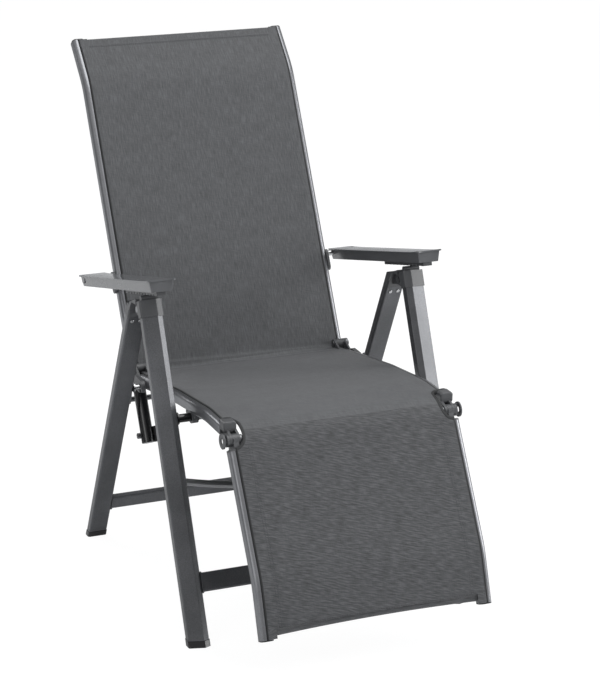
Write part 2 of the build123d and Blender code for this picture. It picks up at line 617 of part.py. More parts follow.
def seat_hook():
    """The plastic hook on a seat rail's outer side, open below, which sits over the rear leg's pin."""
    y, z = hook_point()
    x_from = rail_outer_x() + SEAT_GAP
    plate = link_plate((y, z), (y + HOOK_RADIUS * 2, seat_z(y + HOOK_RADIUS * 2)), HOOK_RADIUS, x_from,
                       x_from + HOOK_THICKNESS)
    radius = HOOK_PIN_DIAMETER / 2 + SEAT_GAP
    mouth = link_plate((y, z), (y - HOOK_RADIUS, z - HOOK_RADIUS * 3), radius, x_from - OVERRUN,
                       x_from + HOOK_THICKNESS + OVERRUN)
    return plate - mouth


def hook_pin():
    """The pin on a rear leg's inner side that carries the seat, on a flange against the leg."""
    y, z = hook_point()
    leg_face = LEG_CENTRE_X - REAR_LEG_WIDTH / 2 - SEAT_GAP
    pin = cross_cylinder(y, z, HOOK_PIN_DIAMETER, rail_outer_x() + SEAT_GAP * 2, leg_face)
    leg_y, _ = leg_point(REAR_FOOT_Y, REAR_LEAN, z)
    return pin + link_plate((y, z), (leg_y, z), HOOK_FLANGE_DIAMETER / 2, leg_face - PIVOT_FLANGE_THICKNESS, leg_face)


def cheek_places():
    """The X extents of the two cheeks that hold a back pivot pin, inner and outer."""
    return [(rail_inner_x(), rail_inner_x() + CHEEK_THICKNESS), (rail_outer_x() - CHEEK_THICKNESS, rail_outer_x())]


def back_bracket():
    """The fork on the seat rail's rear end: a plug in the rail and two cheeks to the back pivot."""
    slope = degrees(atan2(SEAT_REAR[1] - SEAT_MIDDLE[1], SEAT_REAR[0] - SEAT_MIDDLE[0]))
    fork = rail_plug(SEAT_REAR, slope, BRACKET_PLUG_LENGTH, BRACKET_PLUG_CAP)
    root = (SEAT_REAR[0] + BRACKET_PLUG_CAP, SEAT_REAR[1] + CHEEK_THICKNESS)
    for x_from, x_to in cheek_places():
        fork += link_plate(root, (BACK_PIVOT_Y, BACK_PIVOT_Z), CHEEK_RADIUS, x_from, x_to)
    slot_from, slot_to = cheek_places()[0][1], cheek_places()[1][0]
    fork -= cross_cylinder(BACK_PIVOT_Y, BACK_PIVOT_Z, (LUG_RADIUS + SIDE_GAP) * 2, slot_from, slot_to)
    rail_end = section_plane(seat_path())
    behind = Pos(RAIL_CENTRE_X, 0, 0) * rail_end * Pos(0, 0, BRACKET_PLUG_LENGTH) * Box(
        RAIL_WIDTH * 2, RAIL_DEPTH * 2, BRACKET_PLUG_LENGTH * 2)
    plug = rail_plug(SEAT_REAR, slope, BRACKET_PLUG_LENGTH, BRACKET_PLUG_CAP)
    fork = (fork - behind) + (plug & behind)
    return fork - cross_cylinder(BACK_PIVOT_Y, BACK_PIVOT_Z, BACK_PIN_DIAMETER + RUNNING_GAP * 2, 0, LEG_CENTRE_X)


def back_pin():
    """The pin across the bail's arm, both cheeks and the lug, headed at both ends."""
    inner, outer = rail_inner_x() - SEAT_GAP, rail_outer_x() + SIDE_GAP + BAIL_ARM_THICKNESS + SEAT_GAP
    pin = cross_cylinder(BACK_PIVOT_Y, BACK_PIVOT_Z, BACK_PIN_DIAMETER, inner, outer)
    for x_from in (inner - PIN_HEAD_THICKNESS, outer):
        pin += cross_cylinder(BACK_PIVOT_Y, BACK_PIVOT_Z, PIN_HEAD_DIAMETER, x_from, x_from + PIN_HEAD_THICKNESS)
    return pin


def bail(pivot, rod, x_from, x_to, pin_diameter):
    """A steel bail: an arm on each side, bored for the hinge pin, and a rod right across the chair."""
    arm = link_plate(pivot, rod, BAIL_ARM_RADIUS, x_from, x_to)
    arm -= cross_cylinder(*pivot, pin_diameter + SEAT_GAP, x_from - OVERRUN, x_to + OVERRUN)
    return arm + mirror(arm, about=Plane.YZ) + cross_cylinder(*rod, BAIL_ROD_DIAMETER, -x_to, x_to)


def recline_bail():
    """The bail behind the back rails' lower ends, which turns the recline ratchets together."""
    x_from = rail_outer_x() + SIDE_GAP
    return bail((BACK_PIVOT_Y, BACK_PIVOT_Z), (BACK_BAIL_Y, BACK_BAIL_Z), x_from, x_from + BAIL_ARM_THICKNESS,
                BACK_PIN_DIAMETER)


def knee_bail():
    """The bail under the seat's front, which turns the knee ratchets together."""
    x_to = rail_inner_x() - SIDE_GAP
    return bail((KNEE_Y, KNEE_Z), (KNEE_BAIL_Y, KNEE_BAIL_Z), x_to - BAIL_ARM_THICKNESS, x_to, KNEE_PIN_DIAMETER)


def recline_discs():
    """The two ratchet discs of one back hinge, between the cheeks and the back rail's lug."""
    discs = []
    for side, (x_from, x_to) in zip((1, -1), cheek_places()):
        start = x_to + SIDE_GAP if side > 0 else x_from - SIDE_GAP - DISC_THICKNESS
        disc = cross_cylinder(BACK_PIVOT_Y, BACK_PIVOT_Z, LUG_RADIUS * 2, start, start + DISC_THICKNESS)
        discs.append(disc - cross_cylinder(BACK_PIVOT_Y, BACK_PIVOT_Z, BACK_PIN_DIAMETER + RUNNING_GAP * 2, 0,
                                           LEG_CENTRE_X))
    return discs


def back_lug():
    """The lug clamped round a back rail, with its eye on the back pivot pin."""
    x_from = cheek_places()[0][1] + DISC_THICKNESS + SIDE_GAP * 2
    x_to = cheek_places()[1][0] - DISC_THICKNESS - SIDE_GAP * 2
    axis_y, axis_z = back_point(BACK_PIVOT_Z)
    reach = (axis_y - BACK_PIVOT_Y) * cos(radians(BACK_LEAN))
    foot = (BACK_PIVOT_Y + reach * cos(radians(BACK_LEAN)), BACK_PIVOT_Z - reach * sin(radians(BACK_LEAN)))
    lug = link_plate((BACK_PIVOT_Y, BACK_PIVOT_Z), foot, LUG_RADIUS, x_from, x_to)
    frame = Plane(origin=(RAIL_CENTRE_X, *foot), x_dir=(1, 0, 0), z_dir=(0, *back_direction()))
    rail_space = frame * Pos(0, 0, -LUG_RADIUS * 2) * extrude(
        RectangleRounded(RAIL_WIDTH + SEAT_GAP * 2, RAIL_DEPTH + SEAT_GAP * 2, RAIL_CORNER), LUG_RADIUS * 4)
    lug -= rail_space
    return lug - cross_cylinder(BACK_PIVOT_Y, BACK_PIVOT_Z, BACK_PIN_DIAMETER + RUNNING_GAP * 2, 0, LEG_CENTRE_X)


def end_bolt_point():
    """The (Y, Z) centre of the bolt across a back rail's lower end."""
    y, z = back_point(BACK_END_Z)
    return y + BACK_END_BOLT_RISE * back_direction()[0], z + BACK_END_BOLT_RISE * back_direction()[1]


def back_sleeve():
    """The black round end below the seat, on a spigot in the back rail."""
    start, end = back_point(BACK_RAIL_END_Z), back_point(BACK_END_Z)
    length = hypot(start[0] - end[0], start[1] - end[1])
    frame = Plane(origin=(RAIL_CENTRE_X, *end), x_dir=(1, 0, 0), z_dir=(0, *back_direction()))
    body = extrude(Circle(RAIL_WIDTH / 2), length - SEAT_GAP)
    body = fillet(body.edges().filter_by(GeomType.CIRCLE).sort_by(Axis.Z)[0], LEG_WALL)
    clear = RAIL_DEPTH / 2 - CHANNEL_DEPTH - CHANNEL_RADIUS - CHANNEL_WALL - SEAT_GAP
    depth = RAIL_DEPTH / 2 - RAIL_WALL - SEAT_GAP
    spigot = Pos(0, (depth - clear) / 2, length - SEAT_GAP) * extrude(
        Rectangle(RAIL_WIDTH / 2, (clear + depth) * 3 / 4), FOOT_SPIGOT_LENGTH)
    sleeve = frame * (body + spigot)
    y, z = end_bolt_point()
    return sleeve - cross_cylinder(y, z, END_BOLT_DIAMETER + SEAT_GAP * 2, 0, LEG_CENTRE_X)


def end_bolt():
    """The bolt across the sleeve's lower end, its hexagon on the outer side."""
    y, z = end_bolt_point()
    x_from, x_to = rail_inner_x() - BUMPER_THICKNESS, rail_outer_x() + SEAT_GAP
    head = side_plane(y, z, x_to) * extrude(RegularPolygon(END_BOLT_HEAD_DIAMETER / 2, 6), END_BOLT_HEAD_HEIGHT)
    return cross_cylinder(y, z, END_BOLT_DIAMETER, x_from, x_to) + head


def bumper():
    """The rubber block on the sleeve's inner side."""
    y, z = end_bolt_point()
    x_to = rail_inner_x() - SEAT_GAP
    turn = 90 - BACK_LEAN
    block = side_plane(y, z, x_to - BUMPER_THICKNESS) * extrude(
        Rot(0, 0, turn) * RectangleRounded(BUMPER_HEIGHT, BUMPER_DEPTH, BAR_CORNER), BUMPER_THICKNESS)
    return block - cross_cylinder(y, z, END_BOLT_DIAMETER + SEAT_GAP * 2, 0, LEG_CENTRE_X)


def top_direction():
    """Unit (Y, Z) direction of the back rails above their bend."""
    length = hypot(BACK_TOP[0] - BACK_BEND[0], BACK_TOP[1] - BACK_BEND[1])
    return (BACK_TOP[0] - BACK_BEND[0]) / length, (BACK_TOP[1] - BACK_BEND[1]) / length


def back_top_bar():
    """The tube between the back rails' upper ends."""
    dy, dz = top_direction()
    return cross_tube(BACK_TOP[0] - dy * TOP_BAR_INSET - dz * TOP_BAR_RISE,
                      BACK_TOP[1] - dz * TOP_BAR_INSET + dy * TOP_BAR_RISE, TOP_BAR_DIAMETER)


def knee_places():
    """X extents of the knee hinge's layers, from the inner side out."""
    inner = rail_inner_x()
    outer = rail_outer_x() - KNEE_COVER_THICKNESS - SIDE_GAP
    middle = (inner + KNUCKLE_CHEEK + SIDE_GAP, outer - KNUCKLE_CHEEK - SIDE_GAP)
    return {"inner": (inner, inner + KNUCKLE_CHEEK), "rest": middle,
            "outer": (outer - KNUCKLE_CHEEK, outer), "cover": (outer + SIDE_GAP, rail_outer_x())}


def knee_upper():
    """The seat's half of a knee hinge: a plug in the rail and two cheeks."""
    slope = degrees(atan2(SEAT_FRONT[1] - SEAT_CROWN[1], SEAT_FRONT[0] - SEAT_CROWN[0]))
    shell = rail_plug(SEAT_FRONT, slope, KNUCKLE_PLUG_LENGTH, KNUCKLE_PLUG_CAP)
    for layer in ("inner", "outer"):
        cheek = link_plate((SEAT_FRONT[0] - KNUCKLE_PLUG_CAP, SEAT_FRONT[1]), (KNEE_Y, KNEE_Z), KNUCKLE_RADIUS,
                           *knee_places()[layer])
        front = section_plane(side_path([SEAT_FRONT, SEAT_CROWN], None))
        cheek -= front * Pos(RAIL_CENTRE_X, 0, KNUCKLE_PLUG_LENGTH - SEAT_GAP) * Box(
            RAIL_WIDTH * 2, RAIL_DEPTH * 2, KNUCKLE_PLUG_LENGTH * 2)
        shell += cheek
    out = Vector(0, cos(radians(slope)), sin(radians(slope)))
    frame = Plane(origin=(RAIL_CENTRE_X, *SEAT_FRONT), x_dir=(1, 0, 0), z_dir=out)
    height = KNEE_HOOD_TOP - KNEE_HOOD_BOTTOM
    hood = Pos(0, KNEE_HOOD_BOTTOM + height / 2, SEAT_GAP) * extrude(
        RectangleRounded(RAIL_WIDTH, height, KNEE_HOOD_CORNER), KNEE_HOOD_LENGTH)
    hood = fillet(hood.edges().group_by(Axis.Z)[-1], KNEE_HOOD_CORNER / 2)
    shell += frame * hood - cross_cylinder(KNEE_Y, KNEE_Z, (KNUCKLE_RADIUS + SIDE_GAP) * 2, *knee_places()["rest"])
    return shell - cross_cylinder(KNEE_Y, KNEE_Z, KNEE_PIN_DIAMETER + RUNNING_GAP * 2, 0, LEG_CENTRE_X)


def knee_lower():
    """The leg rest's half of a knee hinge: a plug in the rail, one broad eye and its front button."""
    shell = rail_plug(rest_point(REST_TOP_DROP), 90 - REST_LEAN, KNUCKLE_PLUG_LENGTH, KNUCKLE_PLUG_CAP)
    space = cross_cylinder(KNEE_Y, KNEE_Z, (KNUCKLE_RADIUS + SIDE_GAP * 2) * 2, 0, LEG_CENTRE_X)
    neck = rest_point(REST_TOP_DROP - KNUCKLE_PLUG_CAP / 2)
    eye = link_plate((KNEE_Y, KNEE_Z), neck, KNUCKLE_RADIUS, *knee_places()["rest"])
    rail_end = Plane(origin=(RAIL_CENTRE_X, *rest_point(REST_TOP_DROP)), x_dir=(1, 0, 0),
                     z_dir=(0, sin(radians(REST_LEAN)), cos(radians(REST_LEAN))))
    eye -= rail_end * Pos(0, 0, -KNUCKLE_PLUG_LENGTH + SEAT_GAP) * Box(
        RAIL_WIDTH * 2, RAIL_DEPTH * 2, KNUCKLE_PLUG_LENGTH * 2)
    middle = sum(knee_places()["rest"]) / 2
    reach = KNUCKLE_RADIUS + KNEE_BUTTON_HEIGHT
    button = cross_box(KNEE_Y - reach / 2, KNEE_Z, reach, KNEE_BUTTON_LENGTH, 0, middle - KNEE_BUTTON_WIDTH / 2,
                       middle + KNEE_BUTTON_WIDTH / 2)
    shell = (shell - space) + eye + button
    return shell - cross_cylinder(KNEE_Y, KNEE_Z, KNEE_PIN_DIAMETER + RUNNING_GAP * 2, 0, LEG_CENTRE_X)


def knee_cover():
    """The round cover on a knee hinge's outer side, with a ring that stands off it on a post."""
    x_from, x_to = knee_places()["cover"]
    ring_from = x_to + KNEE_RING_STANDOFF
    disc = cross_cylinder(KNEE_Y, KNEE_Z, KNUCKLE_RADIUS * 2, x_from, x_to)
    ring = cross_cylinder(KNEE_Y, KNEE_Z, KNEE_RING_DIAMETER, ring_from, ring_from + KNEE_RING_THICKNESS)
    ring -= cross_cylinder(KNEE_Y, KNEE_Z, KNEE_RING_HOLE, ring_from, ring_from + KNEE_RING_THICKNESS)
    post = cross_box(KNEE_Y, KNEE_Z + KNUCKLE_RADIUS - KNEE_RING_POST / 2, KNEE_RING_POST, KNEE_RING_POST, 0,
                     x_from, ring_from)
    bore = cross_cylinder(KNEE_Y, KNEE_Z, KNEE_PIN_DIAMETER + SEAT_GAP, x_from - OVERRUN, x_to)
    return disc + ring + post - bore


def knee_pin():
    """The pin through the bail's arm, both cheeks, the eye and the cover, headed at both ends."""
    inner = rail_inner_x() - SIDE_GAP - BAIL_ARM_THICKNESS - SEAT_GAP
    outer = rail_outer_x() + SEAT_GAP
    pin = cross_cylinder(KNEE_Y, KNEE_Z, KNEE_PIN_DIAMETER, inner, outer)
    for x_from in (inner - PIN_HEAD_THICKNESS, outer):
        pin += cross_cylinder(KNEE_Y, KNEE_Z, PIN_HEAD_DIAMETER, x_from, x_from + PIN_HEAD_THICKNESS)
    return pin


def rest_bar():
    """The leg rest's lower bar, bowed up in its middle."""
    y, z = rest_point(REST_LENGTH - REST_BAR_INSET)
    end = rail_inner_x() - SEAT_GAP
    up = Vector(0, sin(radians(REST_FOOT_LEAN)), cos(radians(REST_FOOT_LEAN)))
    path = ThreePointArc((-end, y, z), Vector(0, y, z) + up * REST_BAR_RISE, (end, y, z))
    ring = Circle(REST_BAR_DIAMETER / 2) - Circle(REST_BAR_DIAMETER / 2 - LEG_WALL)
    bar = sweep(Plane(origin=path @ 0, z_dir=path % 0) * ring, path=path)
    return bar & Box(end * 2, CUTTER_SIZE, CUTTER_SIZE)


def arm_length():
    """Length of an armrest's top face."""
    return hypot(ARM_REAR[0] - ARM_FRONT[0], ARM_REAR[1] - ARM_FRONT[1])


def arm_frame():
    """The armrest's frame: origin at the middle of its top face, local x forwards, local z up."""
    forward = Vector(0, ARM_FRONT[0] - ARM_REAR[0], ARM_FRONT[1] - ARM_REAR[1]).normalized()
    middle = ((ARM_INNER_X + ARM_OUTER_X) / 2, (ARM_FRONT[0] + ARM_REAR[0]) / 2, (ARM_FRONT[1] + ARM_REAR[1]) / 2)
    return Plane(origin=middle, x_dir=forward, z_dir=forward.cross(Vector(1, 0, 0)))


def arm_pivot():
    """The (Y, Z) point on the back rail where an armrest hangs."""
    return back_point(ARM_PIVOT_Z)


def armrest_shell():
    """A tray-shaped armrest: a top plate with an overhanging lip over a hollow, tapering body."""
    length, width = arm_length(), ARM_OUTER_X - ARM_INNER_X
    plate = Pos(0, 0, -ARM_TOP_THICKNESS) * extrude(RectangleRounded(length, width, ARM_CORNER), ARM_TOP_THICKNESS)
    plate = fillet(plate.edges().group_by(Axis.Z)[-1], ARM_EDGE_ROUND)
    body_height = ARM_HEIGHT - ARM_TOP_THICKNESS
    lean = degrees(atan2(ARM_TAPER, body_height))
    outline = RectangleRounded(length - ARM_LIP * 2, width - ARM_LIP * 2, ARM_CORNER - ARM_LIP / 2)
    body = Pos(0, 0, -ARM_TOP_THICKNESS) * extrude(outline, body_height, dir=(0, 0, -1), taper=lean)
    inside = offset(outline, -ARM_WALL)
    cavity = Pos(0, 0, -ARM_TOP_THICKNESS) * extrude(inside, body_height, dir=(0, 0, -1), taper=lean)
    shell = arm_frame() * (plate + (body - cavity))
    y, z = arm_pivot()
    hub_to = ARM_INNER_X + ARM_LIP + ARM_PIN_REACH
    hub = cross_cylinder(y, z, ARM_HUB_RADIUS * 2, ARM_INNER_X - SIDE_GAP, hub_to)
    web_floor = arm_frame() * Pos(0, 0, -ARM_TOP_THICKNESS / 2 - ARM_HEIGHT) * Box(
        length * 2, width * 4, ARM_HEIGHT * 2)
    shell += hub & web_floor
    return shell - cross_cylinder(y, z, ARM_PIN_DIAMETER + RUNNING_GAP * 2, 0, hub_to - ARM_WALL)


def arm_rack():
    """The toothed strip under an armrest that catches on the latch nose."""
    start = arm_length() / 2 - RACK_FRONT_INSET
    top = -ARM_TOP_THICKNESS - SEAT_GAP
    bottom = -ARM_HEIGHT - RACK_HEIGHT
    strip = Pos(start - RACK_LENGTH / 2, 0, (top + bottom) / 2) * Box(RACK_LENGTH, RACK_WIDTH, top - bottom)
    teeth = int(RACK_LENGTH // RACK_TOOTH_PITCH) - 1
    for index in range(teeth):
        x = start - RACK_TOOTH_PITCH * (index + 1)
        strip -= Pos(x, 0, bottom) * Rot(90, 0, 0) * Cylinder(RACK_TOOTH_DEPTH, RACK_WIDTH * 2)
    inner_end = Pos(start, 0, 0) * Box(ARM_LIP * 4 + ARM_WALL * 2, RACK_WIDTH * 2, ARM_HEIGHT * 2)
    return arm_frame() * (strip - inner_end)


def arm_link():
    """The black link between a back rail and an armrest's hub."""
    y, z = arm_pivot()
    x_from = rail_outer_x() + SIDE_GAP
    dy, dz = back_direction()
    tail = (y - dy * ARM_LINK_LENGTH, z - dz * ARM_LINK_LENGTH)
    link = link_plate((y, z), tail, ARM_HUB_RADIUS, x_from, x_from + ARM_LINK_THICKNESS)
    return link - cross_cylinder(y, z, ARM_PIN_DIAMETER + RUNNING_GAP * 2, 0, ARM_OUTER_X)


def arm_pin():
    """The pin from a back rail through the link into the armrest's hub."""
    y, z = arm_pivot()
    x_to = ARM_INNER_X + ARM_LIP + ARM_PIN_REACH - ARM_WALL - SEAT_GAP
    pin = cross_cylinder(y, z, ARM_PIN_DIAMETER, rail_outer_x() - RAIL_WALL * 2, x_to)
    collar_from = rail_outer_x() + SIDE_GAP * 2 + ARM_LINK_THICKNESS
    return pin + cross_cylinder(y, z, PIN_HEAD_DIAMETER, collar_from, ARM_INNER_X - SIDE_GAP * 2)


def build_frame():
    """The front and rear legs with everything fixed to them."""
    front = front_leg_outline()
    pivot_bore = cross_cylinder(SEAT_PIVOT_Y, SEAT_PIVOT_Z, PIVOT_TUBE_BORE + SEAT_GAP, 0, LEG_CENTRE_X)
    save_pair("front_leg", leg_tube(front, FRONT_FOOT_Y, FRONT_LEAN, FRONT_LEG_TOP_Z) - pivot_bore)
    save_group("front_foot_caps", foot_cap(front, FRONT_FOOT_Y, FRONT_LEAN))
    save_pair("head_cap", head_cap())
    save("front_crossbar", crossbar(FRONT_FOOT_Y, FRONT_LEAN, FRONT_BAR_Z, FRONT_BAR_HEIGHT, FRONT_BAR_DEPTH,
                                    (OUTER_FACET_WIDTH + INNER_FACET_WIDTH) / 2))
    save("front_bow", front_bow())
    save_group("seat_pivot_tubes", seat_pivot_tube())
    save("frame_pivot_pins", Compound([both_sides(head_pin()), both_sides(seat_pivot_bolt())]))
    save_pair("rear_leg", rear_leg())
    save_group("rear_foot_caps", foot_cap(rear_leg_outline(), REAR_FOOT_Y, REAR_LEAN))
    save_pair("rear_head", rear_head())
    save("head_rivets", Compound([both_sides(rivet) for rivet in head_rivets()]))
    save("rear_crossbar", crossbar(REAR_FOOT_Y, REAR_LEAN, REAR_BAR_Z, REAR_BAR_HEIGHT, REAR_BAR_DEPTH,
                                   REAR_LEG_WIDTH / 2))
    save_group("hook_pins", hook_pin())


def build_seat():
    """The seat: rails, sling, cross tube, brackets, hooks and the fixed halves of its hinges."""
    path = seat_path()
    save_pair("seat_rail", rail(path))
    save("seat_sling", sling(path))
    save_group("seat_cords", cord(path))
    save("seat_cross_tube", seat_cross_tube())
    save_group("seat_pivot_brackets", seat_pivot_bracket())
    save_group("seat_hooks", seat_hook())
    save_pair("back_bracket", back_bracket())
    save_pair("knee_upper", knee_upper())


def build_back():
    """The back: rails, sling, top bar, lugs and lower ends, with the ratchets it reclines on."""
    dy, dz = top_direction()
    trim = TOP_BAR_INSET + TOP_BAR_DIAMETER / 2 + SEAT_GAP
    sling_top = (BACK_TOP[0] - dy * trim, BACK_TOP[1] - dz * trim)
    sling_bottom = BACK_PIVOT_Z + CHEEK_RADIUS * 2
    rail_path = back_path(BACK_TOP, BACK_RAIL_END_Z)
    arm_y, arm_z = arm_pivot()
    pin_bore = cross_cylinder(arm_y, arm_z, ARM_PIN_DIAMETER + SEAT_GAP, RAIL_CENTRE_X, LEG_CENTRE_X)
    save_pair("back_rail", rail(rail_path) - pin_bore)
    save("back_top_bar", back_top_bar())
    save("back_sling", sling(back_path(sling_top, sling_bottom)))
    save_group("back_cords", cord(back_path(sling_top, sling_bottom)))
    save_group("back_end_plugs", rail_plug(BACK_TOP, degrees(atan2(dz, dy)), END_PLUG_LENGTH, END_PLUG_CAP))
    save_group("back_lugs", back_lug())
    save_pair("back_sleeve", back_sleeve())
    save_group("bumpers", bumper())
    save_group("end_bolts", end_bolt())
    save("recline_discs", Compound([both_sides(disc) for disc in recline_discs()]))
    save("recline_bail", recline_bail())
    save_group("back_pins", back_pin())


def build_leg_rest():
    """The leg rest: rails, sling, bar and hinge halves, with the ratchets it tilts on."""
    save_pair("rest_rail", rail(rest_path(REST_TOP_DROP, REST_LENGTH)))
    sling_end = REST_LENGTH - REST_BAR_INSET - REST_BAR_RISE * 2 - REST_BAR_DIAMETER / 2
    path = rest_path(REST_TOP_DROP + KNUCKLE_RADIUS, sling_end)
    save("rest_sling", sling(path))
    save_group("rest_cords", cord(path))
    save("rest_bar", rest_bar())
    save_group("rest_end_plugs", rail_plug(rest_point(REST_LENGTH), 270 - REST_FOOT_LEAN, END_PLUG_LENGTH,
                                          END_PLUG_CAP))
    save_pair("knee_lower", knee_lower())
    save_group("knee_covers", knee_cover())
    save("knee_bail", knee_bail())
    save_group("knee_pins", knee_pin())


def build_arms():
    """The armrests with their racks, links and pins."""
    save_pair("armrest", armrest_shell())
    save_pair("arm_rack", arm_rack())
    save_pair("arm_link", arm_link())
    save_group("arm_pins", arm_pin())


build_frame()
build_seat()
build_back()
build_leg_rest()
build_arms()
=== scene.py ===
import logging
import math
from bisect import bisect_right
from collections.abc import Callable
from dataclasses import dataclass, field
from enum import Enum

import bmesh
import bpy
from mathutils import Matrix, Vector, noise


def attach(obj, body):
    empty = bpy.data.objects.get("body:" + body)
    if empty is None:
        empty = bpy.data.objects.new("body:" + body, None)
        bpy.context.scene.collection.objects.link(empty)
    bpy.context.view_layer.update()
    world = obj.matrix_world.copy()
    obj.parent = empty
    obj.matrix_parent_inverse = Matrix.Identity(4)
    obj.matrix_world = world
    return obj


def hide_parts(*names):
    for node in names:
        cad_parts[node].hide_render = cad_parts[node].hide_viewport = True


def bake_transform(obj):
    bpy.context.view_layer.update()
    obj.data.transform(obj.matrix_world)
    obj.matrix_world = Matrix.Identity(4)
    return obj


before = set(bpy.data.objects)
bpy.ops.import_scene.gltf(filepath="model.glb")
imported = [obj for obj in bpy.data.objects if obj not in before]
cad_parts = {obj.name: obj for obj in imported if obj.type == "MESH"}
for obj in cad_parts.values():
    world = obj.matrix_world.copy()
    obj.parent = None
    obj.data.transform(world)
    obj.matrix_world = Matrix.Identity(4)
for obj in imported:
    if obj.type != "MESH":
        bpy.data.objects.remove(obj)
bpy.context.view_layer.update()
log = logging.getLogger("garden_armchair")

MM = 0.001
MERGE = 0.01 * MM              # vertices closer than this become one
UPRIGHT = 0.99                 # a direction with this much Z counts as along Z

Point = tuple[float, float]
Size = tuple[float, float, float]
Row = list[tuple[Vector, float, float]]
Socket = bpy.types.NodeSocket


class Side(Enum):
    """The two sides of the chair, by the sign of X."""

    LEFT = -1
    RIGHT = 1

    @property
    def suffix(self) -> str:
        """The word that ends the name of a piece on this side."""
        return self.name.lower()


def both(*stems: str) -> list[str]:
    """The left and right names of each stem."""
    return [f"{stem}_{side.suffix}" for stem in stems for side in Side]


def clamp(value: float, low: float = 0.0, high: float = 1.0) -> float:
    """Hold a value between two limits."""
    return min(high, max(low, value))


def steps(start: float, end: float, count: int) -> list[float]:
    """Evenly spaced values from start to end, one more than the count of spans."""
    return [start + (end - start) * i / count for i in range(count + 1)]


def srgb(code: str) -> tuple[float, float, float, float]:
    """Turn an sRGB hex colour into the linear values that a shader takes.

    Args:
        code: six hex digits, such as "5f6062".

    Returns:
        Linear red, green and blue, and an alpha of one.
    """
    parts = [int(code[i:i + 2], 16) / 255 for i in (0, 2, 4)]
    linear = [c / 12.92 if c <= 0.04045 else ((c + 0.055) / 1.055) ** 2.4 for c in parts]
    return (*linear, 1.0)


def add_node(tree: bpy.types.NodeTree, kind: str, settings: dict | None = None,
             links: dict | None = None) -> bpy.types.Node:
    """Add one shader node with its settings and links.

    Args:
        tree: the node tree that gets it.
        kind: the node's type name.
        settings: values by input name or number, or by attribute after a dot.
        links: output sockets by input name or number.

    Returns:
        The new node.
    """
    made = tree.nodes.new(kind)
    for key, value in (settings or {}).items():
        if isinstance(key, str) and key.startswith("."):
            setattr(made, key[1:], value)
        else:
            made.inputs[key].default_value = value
    for key, socket in (links or {}).items():
        tree.links.new(socket, made.inputs[key])
    return made


class Shading:
    """The nodes of one material or of the world, with the steps that several share."""

    def __init__(self, owner: bpy.types.Material | bpy.types.World) -> None:
        """Empty the node tree.

        Args:
            owner: the material or world that the nodes belong to.
        """
        owner.use_nodes = True
        self.owner = owner
        self.tree = owner.node_tree
        self.tree.nodes.clear()

    def add(self, kind: str, settings: dict | None = None,
            links: dict | None = None) -> bpy.types.Node:
        """Add a node by the end of its type name."""
        return add_node(self.tree, f"ShaderNode{kind}", settings, links)

    def place(self) -> Socket:
        """The surface's place in the object's own coordinates."""
        return self.add("TexCoord").outputs["Object"]

    def mapped(self, place: Socket, scale: Size, turn: float = 0.0,
               kind: str = "POINT") -> Socket:
        """Turn and scale a place.

        Args:
            place: the coordinates.
            scale: the factor along each axis.
            turn: degrees about Z.
            kind: "TEXTURE" turns before it scales, and divides by the factors.

        Returns:
            The new coordinates.
        """
        settings = {".vector_type": kind, "Rotation": (0, 0, math.radians(turn)), "Scale": scale}
        return self.add("Mapping", settings, {"Vector": place}).outputs["Vector"]

    def noise(self, place: Socket, scale: float, detail: float = 2.0,
              roughness: float = 0.5) -> Socket:
        """Cloudy noise from 0 to 1, with the noise node's own settings."""
        settings = {"Scale": scale, "Detail": detail, "Roughness": roughness}
        return self.add("TexNoise", settings, {"Vector": place}).outputs["Fac"]

    def maths(self, operation: str, *values: float | Socket, hold: bool = False) -> Socket:
        """Work out a sum.

        Args:
            operation: the math node's operation.
            values: its inputs in order, numbers or sockets.
            hold: whether the result is held between 0 and 1.

        Returns:
            The result.
        """
        settings = {i: v for i, v in enumerate(values) if isinstance(v, float)}
        links = {i: v for i, v in enumerate(values) if not isinstance(v, float)}
        settings[".operation"], settings[".use_clamp"] = operation, hold
        return self.add("Math", settings, links).outputs[0]

    def spread(self, value: Socket, low: float, high: float, start: float = 0.0,
               end: float = 1.0) -> Socket:
        """Stretch a value from the range start to end onto low to high."""
        settings = {"From Min": start, "From Max": end, "To Min": low, "To Max": high}
        return self.add("MapRange", settings, {"Value": value}).outputs["Result"]

    def tint(self, first: str, second: str, share: Socket) -> Socket:
        """Mix two hex colours by a share."""
        settings = {".data_type": "RGBA", 6: srgb(first), 7: srgb(second)}
        return self.add("Mix", settings, {0: share}).outputs[2]

    def bump(self, height: Socket, strength: float, distance: float,
             under: Socket | None = None) -> Socket:
        """Raise the surface by a height, over another bump if one is given."""
        links = {"Height": height}
        if under is not None:
            links["Normal"] = under
        settings = {"Strength": strength, "Distance": distance}
        return self.add("Bump", settings, links).outputs["Normal"]

    def shown(self) -> Socket:
        """One where the camera looks straight at a surface or through a clear one, else zero."""
        ray = self.add("LightPath").outputs
        return self.maths("MAXIMUM", ray["Is Camera Ray"], ray["Is Transmission Ray"])

    def mixed(self, share: Socket, first: Socket, second: Socket) -> Socket:
        """Mix two shaders by a share."""
        return self.add("MixShader", links={0: share, 1: first, 2: second}).outputs[0]

    def finish(self, settings: dict, links: dict) -> bpy.types.Material:
        """Close the tree with a principled shader and give back its material."""
        shader = self.add("BsdfPrincipled", settings, links)
        self.add("OutputMaterial", links={"Surface": shader.outputs["BSDF"]})
        return self.owner


def deselect() -> None:
    """Leave edit mode and select nothing."""
    if bpy.context.mode != "OBJECT":
        bpy.ops.object.mode_set(mode="OBJECT")
    bpy.ops.object.select_all(action="DESELECT")


def pick(piece: bpy.types.Object) -> None:
    """Select one object alone and make it active."""
    deselect()
    piece.select_set(True)
    bpy.context.view_layer.objects.active = piece


